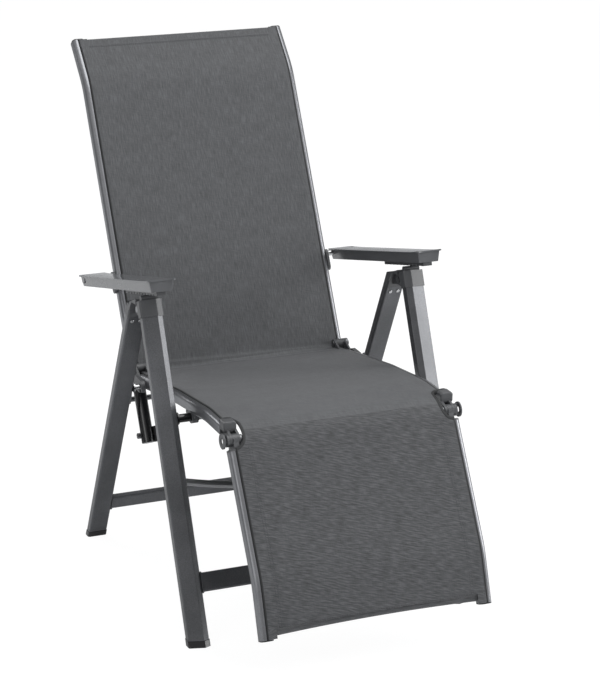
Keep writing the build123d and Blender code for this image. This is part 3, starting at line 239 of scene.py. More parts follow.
def edit(piece: bpy.types.Object) -> None:
    """Go to edit mode with the whole mesh of one piece selected."""
    pick(piece)
    bpy.ops.object.mode_set(mode="EDIT")
    bpy.ops.mesh.select_all(action="SELECT")


def select_parts(piece: bpy.types.Object, kind: str,
                 test: Callable[[bmesh.types.BMFace | bmesh.types.BMEdge], bool]) -> None:
    """Go to edit mode and select the faces or edges that a test picks.

    Args:
        piece: the mesh object.
        kind: "FACE" or "EDGE".
        test: called with each face or edge.
    """
    edit(piece)
    bpy.ops.mesh.select_mode(type=kind)
    bpy.ops.mesh.select_all(action="DESELECT")
    mesh = bmesh.from_edit_mesh(piece.data)
    for part in [p for p in (mesh.faces if kind == "FACE" else mesh.edges) if test(p)]:
        part.select_set(True)
    bmesh.update_edit_mesh(piece.data)


def apply_modifiers(piece: bpy.types.Object) -> None:
    """Apply every modifier on a piece, in order."""
    pick(piece)
    for modifier in list(piece.modifiers):
        bpy.ops.object.modifier_apply(modifier=modifier.name)


def bevel(piece: bpy.types.Object, width: float, segments: int, angle: float) -> None:
    """Round a piece's sharp edges with an applied bevel.

    Args:
        piece: the mesh object.
        width: the bevel's width in metres.
        segments: how many facets make the rounding.
        angle: edges sharper than this many degrees are rounded.
    """
    modifier = piece.modifiers.new("Rounding", "BEVEL")
    modifier.width, modifier.segments = width, segments
    modifier.limit_method, modifier.angle_limit = "ANGLE", math.radians(angle)
    modifier.harden_normals = False
    apply_modifiers(piece)


def settle(piece: bpy.types.Object, name: str, angle: float) -> bpy.types.Object:
    """Finish a piece: place into its mesh, doubles merged, normals out, smooth shading.

    Args:
        piece: the mesh object.
        name: its final name.
        angle: edges sharper than this many degrees stay sharp.

    Returns:
        The same object.
    """
    pick(piece)
    bpy.ops.object.transform_apply(location=True, rotation=True, scale=True)
    edit(piece)
    bpy.ops.mesh.remove_doubles(threshold=MERGE)
    bpy.ops.mesh.normals_make_consistent(inside=False)
    bpy.ops.object.mode_set(mode="OBJECT")
    bpy.ops.object.shade_smooth_by_angle(angle=math.radians(angle))
    piece.name = piece.data.name = name
    deselect()
    return piece


def joined(pieces: list[bpy.types.Object]) -> bpy.types.Object:
    """Join several objects into the first one."""
    deselect()
    for piece in pieces:
        piece.select_set(True)
    bpy.context.view_layer.objects.active = pieces[0]
    bpy.ops.object.join()
    return pieces[0]


def dress(piece: bpy.types.Object, material: bpy.types.Material) -> None:
    """Give a piece its material, in its only material slot."""
    piece.data.materials.clear()
    piece.data.materials.append(material)


def pair(right: bpy.types.Object, stem: str) -> dict[Side, bpy.types.Object]:
    """Name a settled right-hand piece and copy it to the left, with its own mesh."""
    right.name = right.data.name = f"{stem}_right"
    left = right.copy()
    left.data = right.data.copy()
    bpy.context.scene.collection.objects.link(left)
    left.data.transform(Matrix.Scale(-1, 4, (1, 0, 0)))
    left.data.flip_normals()
    left.name = left.data.name = f"{stem}_left"
    return {Side.RIGHT: right, Side.LEFT: left}


def swept(name: str, places: list[Vector], radius: float) -> bpy.types.Object:
    """Run a round tube with closed ends along a line.

    Args:
        name: the piece's name.
        places: the line's points.
        radius: the tube's radius.

    Returns:
        The tube.
    """
    deselect()
    data = bpy.data.curves.new(name, "CURVE")
    data.dimensions = "3D"
    data.bevel_depth, data.bevel_resolution, data.use_fill_caps = radius, 1, True
    run = data.splines.new("POLY")
    run.points.add(len(places) - 1)
    for point, place in zip(run.points, places):
        point.co = (*place, 1.0)
    tube = bpy.data.objects.new(name, data)
    bpy.context.scene.collection.objects.link(tube)
    pick(tube)
    bpy.ops.object.convert(target="MESH")
    return settle(bpy.context.object, name, 60)


def block(size: Size, at: Size, corner: float = 0.0) -> bpy.types.Object:
    """Add a box, with its upright edges rounded if a corner radius is given.

    Args:
        size: its extents.
        at: its middle.
        corner: how far the upright edges are rounded.

    Returns:
        The box, its scale applied.
    """
    deselect()
    bpy.ops.mesh.primitive_cube_add(size=1, location=at)
    piece = bpy.context.object
    piece.scale = size
    bpy.ops.object.transform_apply(location=True, rotation=True, scale=True)
    if corner > 0:
        select_parts(piece, "EDGE", lambda e: abs(
            (e.verts[0].co - e.verts[1].co).normalized().z) > UPRIGHT)
        bpy.ops.mesh.bevel(offset=corner, segments=5, affect="EDGES")
        bpy.ops.object.mode_set(mode="OBJECT")
    return piece


def repeated(shape: bpy.types.Object, places: list[Matrix], name: str) -> bpy.types.Object:
    """Copy one small shape to many places, as one mesh.

    Args:
        shape: the shape, drawn once at the origin; it is used up.
        places: where each copy goes.
        name: the new piece's name.

    Returns:
        The piece with all the copies.
    """
    made = bmesh.new()
    for place in places:
        first = len(made.verts)
        made.from_mesh(shape.data)
        made.verts.ensure_lookup_table()
        for vertex in made.verts[first:]:
            vertex.co = place @ vertex.co
    mesh = bpy.data.meshes.new(name)
    made.to_mesh(mesh)
    made.free()
    mesh.polygons.foreach_set("use_smooth", [True] * len(mesh.polygons))
    piece = bpy.data.objects.new(name, mesh)
    bpy.context.scene.collection.objects.link(piece)
    bpy.data.objects.remove(shape)
    return piece


@dataclass(frozen=True)
class MetallicPowderCoat:
    """Powder coat on aluminium, anthracite with a fine metal flake, sprayed and oven cured.

    It gives a dark satin body with soft, slightly grainy reflections.
    """

    name: str = "anthracite_powder_coat"
    colour: str = "494a4c"
    flake: str = "636467"
    metallic: float = 0.55
    roughness: float = 0.34
    smoother: float = 0.05
    duller: float = 0.08
    grain_mm: float = 1.6      # the real flake is 0.05 mm; drawn coarser so that it shows
    cloud_scale: float = 9.0
    flake_range: Point = (0.12, 0.4)
    bump: float = 0.05

    def make(self) -> bpy.types.Material:
        """Build the material."""
        nodes = Shading(bpy.data.materials.new(self.name))
        place = nodes.place()
        flake = nodes.noise(place, 1 / (self.grain_mm * MM))
        cloud = nodes.noise(place, self.cloud_scale, 3.0)
        share = nodes.spread(nodes.maths("MULTIPLY", flake, cloud), 0.0, 1.0, *self.flake_range)
        rough = nodes.spread(cloud, self.roughness - self.smoother, self.roughness + self.duller)
        return nodes.finish({"Metallic": self.metallic}, {
            "Base Color": nodes.tint(self.colour, self.flake, share),
            "Roughness": rough, "Normal": nodes.bump(flake, self.bump, 0.2 * MM)})


@dataclass(frozen=True)
class MouldedPlastic:
    """Injection-moulded plastic with a fine spark-eroded grain, on knuckles, caps and armrests."""

    name: str = "dark_grey_plastic"
    colour: str = "3f4042"
    worn: str = "4d4e50"
    roughness: float = 0.42
    smoother: float = 0.06
    duller: float = 0.08
    grain_mm: float = 1.1      # the mould's grain, drawn a little coarser than its real 0.3 mm
    cloud_scale: float = 14.0
    bump: float = 0.25

    def make(self) -> bpy.types.Material:
        """Build the material."""
        nodes = Shading(bpy.data.materials.new(self.name))
        place = nodes.place()
        cells = nodes.add("TexVoronoi", {"Scale": 1 / (self.grain_mm * MM)}, {"Vector": place})
        cloud = nodes.noise(place, self.cloud_scale, 4.0)
        rough = nodes.spread(cloud, self.roughness - self.smoother, self.roughness + self.duller)
        return nodes.finish({"IOR": 1.5}, {
            "Base Color": nodes.tint(self.colour, self.worn, cloud), "Roughness": rough,
            "Normal": nodes.bump(cells.outputs["Distance"], self.bump, 0.1 * MM)})


@dataclass(frozen=True)
class BareMetal:
    """Bright metal, such as zinc-plated rivets and pins, turned or drawn, with fine lines."""

    name: str
    colour: str
    roughness: float
    scratch: float = 0.08
    line: str = "8d8e90"
    line_scale: float = 60.0
    line_stretch: float = 30.0

    def make(self) -> bpy.types.Material:
        """Build the material."""
        nodes = Shading(bpy.data.materials.new(self.name))
        long = nodes.mapped(nodes.place(), (1.0, self.line_stretch, self.line_stretch))
        lines = nodes.noise(long, self.line_scale, 4.0)
        rough = nodes.spread(lines, self.roughness - self.scratch, self.roughness + self.scratch)
        return nodes.finish({"Metallic": 1.0}, {
            "Base Color": nodes.tint(self.colour, self.line, lines), "Roughness": rough})


@dataclass(frozen=True)
class SlingWeave:
    """Woven mesh of vinyl-coated polyester yarn: a fine rib across, and slubs of yarn along it.

    The real yarns lie about 1.1 mm apart, too fine for the picture, so the ribs and slubs are
    drawn as coarse as the picture needs to show them.
    """

    name: str
    colour: str = "4b4c4e"
    light: str = "595b5d"
    dark: str = "3b3c3e"
    rib_mm: float = 2.8        # drawn; the real weft is 1.1 mm
    rib_length_mm: float = 20.0
    rib_turn: float = 17.0     # the twill's slant, in degrees from the weft
    rib_contrast: float = 0.35
    slub_contrast: float = 1.2
    slub_width_mm: float = 2.2
    slub_length_mm: float = 24.0
    mottle_scale: float = 22.0
    mottle_contrast: float = 0.25
    yarn_mm: float = 2.6       # drawn; the real yarns lie 1.1 mm apart
    roughness: float = 0.66

    def make(self) -> bpy.types.Material:
        """Build the material on the fabric's own UV map, which is in metres."""
        nodes = Shading(bpy.data.materials.new(self.name))
        flat = nodes.add("UVMap", {".uv_map": "weave"}).outputs["UV"]
        per_slub = (1000 / self.slub_width_mm, 1000 / self.slub_length_mm, 1)
        per_rib = (self.rib_length_mm * MM, self.rib_mm * MM, 1)
        slub = nodes.noise(nodes.mapped(flat, per_slub), 1.0, 3.0, 0.6)
        rib = nodes.noise(nodes.mapped(flat, per_rib, self.rib_turn, "TEXTURE"), 1.0)
        mottle = nodes.noise(flat, self.mottle_scale, 4.0)
        shares = [nodes.maths("MULTIPLY_ADD", source, contrast, middle - contrast / 2)
                  for source, contrast, middle in ((slub, self.slub_contrast, 0.5),
                                                   (rib, self.rib_contrast, 0.0),
                                                   (mottle, self.mottle_contrast, 0.0))]
        tone = nodes.maths("ADD", nodes.maths("ADD", *shares[:2]), shares[2], hold=True)
        ramp = nodes.add("ValToRGB", links={"Fac": tone})
        stops = ramp.color_ramp.elements
        stops[0].color, stops[1].color = srgb(self.dark), srgb(self.light)
        stops[0].position, stops[1].position = 0.2, 0.8
        stops.new(0.5).color = srgb(self.colour)
        turns = 1000 / self.yarn_mm * math.tau / 20
        yarns = nodes.mapped(flat, (turns, turns, 1))
        bands = [nodes.add("TexWave", {".wave_type": "BANDS", ".bands_direction": axis,
                                       "Scale": 1.0, "Distortion": 0.6, "Detail": 1.0},
                           {"Vector": yarns}).outputs["Fac"] for axis in "XY"]
        fine = nodes.bump(nodes.maths("ADD", *bands), 0.25, 0.4 * MM)
        return nodes.finish(
            {"Roughness": self.roughness, "IOR": 1.48, "Sheen Weight": 0.08,
             "Sheen Roughness": 0.5},
            {"Base Color": ramp.outputs["Color"],
             "Normal": nodes.bump(tone, 0.35, 0.6 * MM, fine)})


@dataclass(frozen=True)
class SoftTrim:
    """Fabric tape, sewing thread or rubber: a matt surface with a fine twist along it."""

    name: str
    colour: str
    light: str
    roughness: float = 0.75
    twist_mm: float = 2.0

    def make(self) -> bpy.types.Material:
        """Build the material."""
        nodes = Shading(bpy.data.materials.new(self.name))
        twist = nodes.noise(nodes.place(), 1 / (self.twist_mm * MM))
        return nodes.finish({"Roughness": self.roughness}, {
            "Base Color": nodes.tint(self.colour, self.light, twist),
            "Normal": nodes.bump(twist, 0.3, 0.2 * MM)})


class Finishes:
    """Every material of the chair, made once."""

    def __init__(self) -> None:
        """Build all the materials."""
        self.legs = MetallicPowderCoat().make()
        self.rails = MetallicPowderCoat("rail_powder_coat", "6f7073", "808184", metallic=0.85,
                                        roughness=0.32).make()
        self.plastic = MouldedPlastic().make()
        self.arms = MouldedPlastic("armrest_plastic", "505153", "5b5c5e", roughness=0.15,
                                   bump=0.06).make()
        self.black = MouldedPlastic("black_gloss_plastic", "121213", "1d1d1f", roughness=0.16,
                                    bump=0.02).make()
        self.rubber = SoftTrim("black_rubber", "161617", "202022").make()
        self.zinc = BareMetal("zinc_plated_steel", "c9cacb", 0.26).make()
        self.silver = BareMetal("drawn_aluminium", "a9aaab", 0.36).make()
        self.dark_steel = BareMetal("blackened_steel", "77787a", 0.34).make()
        # Dark piping, binding and loops; the same material also paints the sling's edges as the
        # shade of the rails' grooves.
        self.piping = SoftTrim("sling_piping", "1d1e1f", "2a2b2c").make()
        self.thread = SoftTrim("sewing_thread", "3a3b3d", "4c4d50", twist_mm=1.0).make()
        # One sling fabric in three copies: the back and leg-rest copies are darker than the
        # seat's, as painted shade of how the light falls on them.
        self.shaded_back_weave = SlingWeave("sling_weave_back_shaded", "424345", "515355", "333436").make()
        self.seat_weave = SlingWeave("sling_weave_seat", slub_contrast=0.6,
                                     rib_contrast=0.6).make()
        self.shaded_rest_weave = SlingWeave("sling_weave_rest_shaded", "3e3f41", "505153", "2d2e30",
                                     slub_contrast=0.3, rib_contrast=1.5).make()


class CarriedParts:
    """The CAD nodes that stay in view, and the finish of each."""

    def __init__(self, finishes: Finishes) -> None:
        """Group the nodes by finish.

        Args:
            finishes: the chair's materials.
        """
        self.groups = {
            finishes.legs: (*both("front_leg", "rear_leg"), "front_crossbar", "rear_crossbar"),
            finishes.rails: (*both("seat_rail", "back_rail", "rest_rail"), "seat_cross_tube",
                             "back_top_bar", "rest_bar"),
            finishes.plastic: (*both("head_cap", "rear_head", "back_bracket", "knee_upper",
                                     "knee_lower", "arm_link", "arm_rack"), "seat_hooks",
                               "knee_covers", "recline_discs", "back_lugs",
                               "seat_pivot_brackets"),
            finishes.piping: ("seat_cords", "back_cords", "rest_cords"),
            finishes.black: (*both("back_sleeve"), "seat_pivot_tubes", "front_foot_caps",
                             "rear_foot_caps", "back_end_plugs", "rest_end_plugs"),
            finishes.rubber: ("bumpers",),
            finishes.zinc: ("head_rivets", "hook_pins", "arm_pins"),
            finishes.dark_steel: ("frame_pivot_pins", "recline_bail", "knee_bail", "back_pins",
                                  "knee_pins", "end_bolts"),
            finishes.silver: ("front_bow",),
        }

    def dress(self) -> None:
        """Give every carried-over node its finish."""
        for material, nodes in self.groups.items():
            for node in nodes:
                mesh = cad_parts[node].data
                mesh.materials.clear()
                mesh.materials.append(material)
        log.info("dressed %d CAD nodes", sum(len(nodes) for nodes in self.groups.values()))


def turn_corner(before: Vector, corner: Vector, after: Vector, radius: float,
                count: int = 24) -> list[Vector]:
    """Round one corner of a path.

    Args:
        before, corner, after: three points of the path.
        radius: the arc's radius.
        count: how many pieces the arc is drawn in.

    Returns:
        The arc's points, from its start to its end.
    """
    a, b = (before - corner).normalized(), (after - corner).normalized()
    half = a.angle(b) / 2
    reach = radius / math.tan(half)
    centre = corner + (a + b).normalized() * (radius / math.sin(half))
    spoke_a, spoke_b = corner + a * reach - centre, corner + b * reach - centre
    sweep = spoke_a.angle(spoke_b)
    points = []
    for i in range(count + 1):
        t = i / count
        spoke = spoke_a * math.sin((1 - t) * sweep) + spoke_b * math.sin(t * sweep)
        points.append(centre + spoke / math.sin(sweep))
    return points


@dataclass
class SlingLine:
    """The sling's line in the side plane, from the top bar over the seat to the foot bar.

    The corners are those of the rails' centrelines, in (Y, Z) metres; lift is how far the
    fabric lies off them, on the sitter's side.
    """

    lift: float = 14.95 * MM
    top: Point = (0.5623, 1.0988)
    bend: Point = (0.4872, 1.0180)
    back_low: Point = (0.1813, 0.3959)
    seat_rear: Point = (0.1372, 0.4220)
    seat_middle: Point = (-0.0908, 0.4530)
    seat_crown: Point = (-0.2648, 0.4680)
    seat_front: Point = (-0.3508, 0.4650)
    knee: Point = (-0.3858, 0.4530)
    rest_bend: Point = (-0.52595, 0.19912)
    rest_end: Point = (-0.56025, 0.09355)
    bend_radii: tuple[float, ...] = (0.175, 0.016, 0.415, 0.275, 0.062, 0.215)
    corners: list[Vector] = field(default_factory=list)
    points: list[Vector] = field(default_factory=list)
    lengths: list[float] = field(default_factory=list)

    def __post_init__(self) -> None:
        """Offset the rails' lines, round the corners and measure the run."""
        runs = [(self.top, self.bend), (self.bend, self.back_low),
                (self.seat_rear, self.seat_middle), (self.seat_middle, self.seat_crown),
                (self.seat_crown, self.seat_front), (self.knee, self.rest_bend),
                (self.rest_bend, self.rest_end)]
        lines = []
        for a, b in runs:
            start, along = Vector(a), (Vector(b) - Vector(a)).normalized()
            lines.append((start + self.across(along) * self.lift, along))
        self.corners = [lines[0][0]]
        for (p, u), (q, v) in zip(lines, lines[1:]):
            self.corners.append(p + u * ((q - p).cross(v) / u.cross(v)))
        last, along = lines[-1]
        self.corners.append(last + along * (Vector(self.rest_end)
                                            - Vector(self.rest_bend)).length)
        self.points = [self.corners[0]]
        for i, radius in enumerate(self.bend_radii):
            self.points += turn_corner(*self.corners[i:i + 3], radius)
        self.points.append(self.corners[-1])
        self.lengths = [0.0]
        for a, b in zip(self.points, self.points[1:]):
            self.lengths.append(self.lengths[-1] + (b - a).length)

    @staticmethod
    def across(along: Vector) -> Vector:
        """The sitter's side of a run that goes down the back and forwards along the seat."""
        return Vector((along.y, -along.x))

    @property
    def total(self) -> float:
        """The run's whole length."""
        return self.lengths[-1]

    def at(self, s: float) -> tuple[Vector, Vector, Vector]:
        """A place on the line.

        Args:
            s: the distance from the top end, in metres.

        Returns:
            The point, the direction of the run and the sitter's side, in the side plane.
        """
        s = clamp(s, 0.0, self.total)
        low = min(bisect_right(self.lengths, s) - 1, len(self.points) - 2)
        high = low + 1
        a, b = self.points[low], self.points[high]
        t = (s - self.lengths[low]) / (self.lengths[high] - self.lengths[low])
        along = (b - a).normalized()
        if 0 < low and high < len(self.points) - 1:
            before = (a - self.points[low - 1]).normalized()
            after = (self.points[high + 1] - b).normalized()
            along = ((before + along) * (1 - t) + (along + after) * t).normalized()
        return a + (b - a) * t, along, self.across(along)

    def nearest(self, point: Vector) -> float:
        """The distance along the run that is nearest to a point."""
        return min(self.lengths, key=lambda s: (self.at(s)[0] - point).length)


class Motion(Enum):
    """The stretches of the sling from top to foot, and the bodies that each lies between; only a
    stretch with a single body moves with it.
    """

    BACK = ("back",)
    BACK_HINGE = ("recline_ratchet", "back")
    SEAT_HINGE = ("seat", "recline_ratchet")
    SEAT = ("seat",)
    KNEE_UPPER = ("seat", "knee_ratchet")
    KNEE_LOWER = ("knee_ratchet", "leg_rest")
    REST = ("leg_rest",)


@dataclass
class Stretch:
    """One stretch of the sling, between two distances along its line."""

    motion: Motion
    start: float
    end: float
    material: bpy.types.Material
    step: float

    @property
    def name(self) -> str:
        """The stretch's part of a piece's name."""
        return self.motion.name.lower()

    @property
    def blend_ends(self) -> Point:
        """Where the first and the second of its two bodies take hold, along the line."""
        if self.motion in (Motion.BACK_HINGE, Motion.SEAT_HINGE):
            return self.end, self.start
        return self.start, self.end


@dataclass(frozen=True)
class Hollow:
    """A sag of the fabric: how far past its hinge, how long and how deep, in metres."""

    after: float
    spread: float
    depth: float

    def at(self, run: float) -> float:
        """How deep it is at a distance past the hinge."""
        return math.exp(-((run - self.after) / self.spread) ** 2) * self.depth


@dataclass(frozen=True)
class Fold:
    """A long fold at the crease; its place and height change from the left rail to the right."""

    place: float
    drift: float
    width: float
    height: float
    gain: float

    def at(self, run: float, right: float) -> float:
        """Its height, at a distance past the crease and a share of the way to the right."""
        off = (run - self.place - self.drift * right) / self.width
        return math.exp(-off ** 2) * (self.height + self.gain * right)


@dataclass(frozen=True)
class Ripple:
    """A slight unevenness: how high, and how many turns a metre across and along."""

    height: float
    across: float
    along: float
    layer: float

    def at(self, x: float, s: float) -> float:
        """Its height at a place of the fabric."""
        return self.height * noise.noise(Vector((x * self.across, s * self.along, self.layer)))


CREASE_FOLDS = (Fold(-10 * MM, 10 * MM, 4.5 * MM, 1.4 * MM, 2.2 * MM),
                Fold(2 * MM, 12 * MM, 4 * MM, -2.4 * MM, -2.0 * MM),
                Fold(17 * MM, 16 * MM, 6 * MM, 2.0 * MM, 0.0))
CREASE_RIPPLE, CREASE_SPREAD = Ripple(1.3 * MM, 9, 16, 3.1), 90 * MM
CALM_RIPPLE = Ripple(0.9 * MM, 3.2, 2.6, 0.7)

# How the fabric rolls over at an edge: (inwards from the edge, down).
RAIL_ROLL = ((0.3 * MM, 0.9 * MM), (1.1 * MM, 0.2 * MM))
FREE_ROLL = ((0.0, 2.4 * MM), (0.0, 1.8 * MM), (0.0, 1.2 * MM), (0.3 * MM, 0.5 * MM),
             (1.1 * MM, 0.1 * MM))

# The tied end of the knee binding, over the right-hand housing, in millimetres.
KNEE_LOOP = ((249.0, -343.0, 478.0), (250.0, -346.5, 483.0), (246.5, -350.0, 486.8),
             (240.0, -352.0, 488.0), (232.0, -353.0, 487.4), (226.5, -354.0, 484.5),
             (222.5, -352.0, 480.0))


def signed_power(value: float, power: float) -> float:
    """Raise a value's size to a power and keep its sign."""
    return math.copysign(abs(value) ** power, value)


@dataclass
class SlingFabric:
    """The run of fabric over back, seat and leg rest, with its hems, seams, knee binding and
    loops, and its edges painted dark as the shade of the rails' grooves.
    """

    finishes: Finishes
    line: SlingLine = field(default_factory=SlingLine)
    half_width: float = 241.0 * MM
    rail_inner: float = 226.0 * MM
    bar_half_width: float = 224.0 * MM
    flange: float = 7.0 * MM
    thickness: float = 1.2 * MM
    # How far in from each edge the fabric is painted dark, as painted shade of the rail's groove.
    groove_shade_band: float = 3.0 * MM
    back_hollow: Hollow = Hollow(0.36, 0.26, 7 * MM)
    seat_hollow: Hollow = Hollow(0.26, 0.15, 8 * MM)
    rest_hollow: Hollow = Hollow(0.19, 0.14, 3 * MM)
    hollow_fade: float = 120.0 * MM
    hinge_run: float = 50.0 * MM
    knee_run: float = 75.0 * MM
    knee_cut: float = 21.5 * MM
    knee_cut_before: float = 52.0 * MM
    knee_cut_after: float = 36.0 * MM
    knee_cut_power: float = 3.2
    binding_width: float = 6.5 * MM
    binding_thickness: float = 2.6 * MM
    binding_inset: float = 1.0 * MM
    binding_rows: int = 30
    binding_sides: int = 16
    loop_radius: float = 2.6 * MM
    stitch: float = 3.6 * MM
    stitch_width: float = 1.1 * MM
    stitch_height: float = 0.9 * MM
    stitch_pitch: float = 5.4 * MM
    side_seams: Point = (27.0 * MM, 33.0 * MM)
    hem_seams: Point = (0.8 * MM, 3.0 * MM)
    hem_seam_end: float = 4.0 * MM
    top_bar: Point = (0.55358, 1.09530)
    foot_bar: Point = (-0.5553, 0.1088)
    bar_radius: float = 10.0 * MM
    foot_bar_rise: float = 5.2 * MM
    hem_reach: float = 21.0 * MM
    hem_wrap: float = math.radians(215)
    hem_rows: tuple[int, int, int] = (5, 28, 6)   # down to the bar, round it, and back
    hem_row: float = 4.0 * MM
    hem_tail: float = 0.35         # where it is sewn back, as a share of the way to the bar
    corner_overlap: float = 3.0 * MM
    rail_end: float = 0.8 * MM
    columns: int = 96
    hem_columns: int = 60
    row_spacing: tuple[float, ...] = (0.012, 0.0022, 0.0022, 0.010, 0.0018, 0.0018, 0.012)

    def __post_init__(self) -> None:
        """Work out where the stretches begin and end."""
        line = self.line
        self.crease = line.nearest(line.corners[2])
        self.knee = line.nearest(line.corners[5])
        self.top_bar_s = line.nearest(Vector(self.top_bar))
        self.foot_bar_s = line.nearest(Vector(self.foot_bar))

    def edge(self, s: float) -> float:
        """The fabric's half width at a distance along its line."""
        start, end = self.knee - self.knee_cut_before, self.knee + self.knee_cut_after
        if start < s < end:
            t = (s - start) / (end - start) * 2 - 1
            return self.half_width - self.knee_cut * math.sqrt(
                max(0.0, 1 - abs(t) ** self.knee_cut_power))
        return self.half_width

    def sag(self, x: float, s: float) -> float:
        """How far the fabric hangs below its line, between the rails."""
        across = max(0.0, 1 - (x / self.rail_inner) ** 2)
        depth = (self.back_hollow.at(s) + self.seat_hollow.at(s - self.crease)
                 + self.rest_hollow.at(s - self.knee))
        ends = (clamp((s - self.top_bar_s) / self.hollow_fade)
                * clamp((self.foot_bar_s - s) / self.hollow_fade))
        return depth * across ** 0.8 * ends

    def wrinkle(self, x: float, s: float) -> float:
        """The small folds at the crease of seat and back, and the fabric's unevenness."""
        inside = max(0.0, 1 - (abs(x) / self.rail_inner) ** 6)
        run = s - self.crease
        right = 0.5 + 0.5 * clamp(x / self.rail_inner, -1.0)
        folds = sum(fold.at(run, right) for fold in CREASE_FOLDS)
        draw = math.exp(-(run / CREASE_SPREAD) ** 2) * CREASE_RIPPLE.at(x, s)
        return (folds + draw + CALM_RIPPLE.at(x, s)) * inside

    def point(self, across: float, s: float, depth: float = 0.0) -> Vector:
        """A point of the fabric.

        Args:
            across: X in metres.
            s: distance along the line.
            depth: how far below the fabric's middle surface.

        Returns:
            The point in the chair's frame.
        """
        place, _, out = self.line.at(s)
        lift = -self.sag(across, s) + self.wrinkle(across, s) - depth
        flat = place + out * lift
        return Vector((across, flat.x, flat.y))

    def columns_at(self, s: float) -> list[Point]:
        """The columns of the grid at one row, as (X, depth) with the edges turned down."""
        edge = self.edge(s)
        turned = list(FREE_ROLL)
        if edge >= self.half_width - 1e-6:
            turned = [(0.0, self.flange * share) for share in (1, 0.6, 0.3)] + list(RAIL_ROLL)
        # The plain columns stop where the band painted as groove shade begins.
        width = edge - self.groove_shade_band
        left = [(-edge + inwards, depth) for inwards, depth in turned]
        middle = [(x, 0.0) for x in steps(-width, width, self.columns - 2 * len(turned))]
        right = [(edge - inwards, depth) for inwards, depth in reversed(turned)]
        return left + middle + right

    def grid(self, name: str, rows: list, positions: Callable[..., Row]) -> bpy.types.Object:
        """Add a grid and lay its vertices on the fabric.

        Args:
            name: the new object's name.
            rows: one value for each row of vertices.
            positions: called with a row's value; gives (point, U, V) for each column.

        Returns:
            The fabric sheet, with its UV map in metres.
        """
        deselect()
        laid = [positions(row) for row in rows]
        bpy.ops.mesh.primitive_grid_add(x_subdivisions=len(laid[0]) - 1,
                                        y_subdivisions=len(rows) - 1, size=1)
        piece = bpy.context.object
        piece.name = piece.data.name = name
        vertices, layers = piece.data.vertices, piece.data.uv_layers
        order = sorted(range(len(vertices)),
                       key=lambda i: (round(vertices[i].co.y, 5), round(vertices[i].co.x, 5)))
        where = {}
        for index, (co, u, v) in zip(order, [entry for row in laid for entry in row]):
            vertices[index].co = co
            where[index] = (u, v)
        while layers:
            layers.remove(layers[0])
        layer = layers.new(name="weave")
        for loop in piece.data.loops:
            layer.data[loop.index].uv = where[loop.vertex_index]
        return piece

    def sew(self, piece: bpy.types.Object, stretch: Stretch, s: float, groove_shaded: bool) -> None:
        """Make a laid sheet into fabric: its thickness, material, edges painted dark as the shade
        of the rails' grooves, and the body it follows where it has one.

        Args:
            piece: the sheet.
            stretch: the stretch of the sling that it belongs to.
            s: where on the line the sitter's side is taken.
            groove_shaded: whether its outer edges are painted dark as the shade of the rails'
                grooves.
        """
        out = self.line.at(s)[2]
        edit(piece)
        bpy.ops.mesh.normals_make_consistent(inside=False)
        bpy.ops.object.mode_set(mode="OBJECT")
        middle = piece.data.polygons[len(piece.data.polygons) // 2]
        if middle.normal.dot(Vector((0, out.x, out.y))) < 0:
            piece.data.flip_normals()
        wall = piece.modifiers.new("Thickness", "SOLIDIFY")
        wall.thickness, wall.offset = self.thickness, 0
        apply_modifiers(piece)
        bpy.ops.object.shade_smooth_by_angle(angle=math.radians(50))
        deselect()
        dress(piece, stretch.material)
        # Paint the edges dark as the shade of the rails' grooves.
        if groove_shaded:
            self.paint_groove_shade(piece)
        self.move_with(piece, stretch)

    def paint_groove_shade(self, piece: bpy.types.Object) -> None:
        """Paint the fabric's turned-down edges and a narrow band beside them dark: painted shade
        of the rails' grooves that the edges go down into.
        """
        piece.data.materials.append(self.finishes.piping)
        laid = piece.data.uv_layers["weave"].data
        for face in piece.data.polygons:
            spots = [laid[i].uv for i in face.loop_indices]
            u = sum(abs(spot.x) for spot in spots) / len(spots)
            v = sum(spot.y for spot in spots) / len(spots)
            if u > self.edge(v) - self.groove_shade_band:
                face.material_index = 1

    def move_with(self, piece: bpy.types.Object, stretch: Stretch) -> None:
        """Attach a piece to its stretch's body; a piece whose stretch lies between two bodies is
        only baked in place, and follows neither.
        """
        bodies = stretch.motion.value
        if len(bodies) == 1:
            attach(piece, bodies[0])
            return
        for s in stretch.blend_ends:
            place = self.line.at(s)[0]
        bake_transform(piece)

    def lay(self, stretch: Stretch) -> bpy.types.Object:
        """Make one stretch of fabric."""
        count = max(4, math.ceil((stretch.end - stretch.start) / stretch.step))

        def positions(s: float) -> Row:
            """One row of the stretch."""
            return [(self.point(x, s, depth), x + (depth if x > 0 else -depth), s)
                    for x, depth in self.columns_at(s)]

        piece = self.grid(f"sling_{stretch.name}", steps(stretch.start, stretch.end, count),
                          positions)
        self.sew(piece, stretch, (stretch.start + stretch.end) / 2, groove_shaded=True)
        return piece

    def hem(self, name: str, bar: Point, from_s: float, rise: float, stretch: Stretch) -> None:
        """Wrap the fabric's end round a bar and sew it back to itself.

        Args:
            name: the piece's name.
            bar: the bar's centre.
            from_s: where on the line the hem begins.
            rise: how far the bar bows towards the sling in its middle.
            stretch: the stretch that the hem belongs to.
        """
        start, along, out = self.line.at(from_s)
        travel = -along if stretch.motion is Motion.BACK else along
        centre = Vector(bar)
        gap = self.bar_radius + self.thickness * 0.6
        to_bar = centre + out * gap - start
        down, wrap, back = self.hem_rows
        path = [start + to_bar * (i / down) for i in range(down)]
        for angle in steps(0.0, self.hem_wrap, wrap):
            path.append(centre + out * (gap * math.cos(angle)) + travel * (gap * math.sin(angle)))
        tail = start + to_bar * self.hem_tail - out * (self.thickness * 1.6)
        last = path[-1]
        path += [last + (tail - last) * (i / back) for i in range(1, back + 1)]

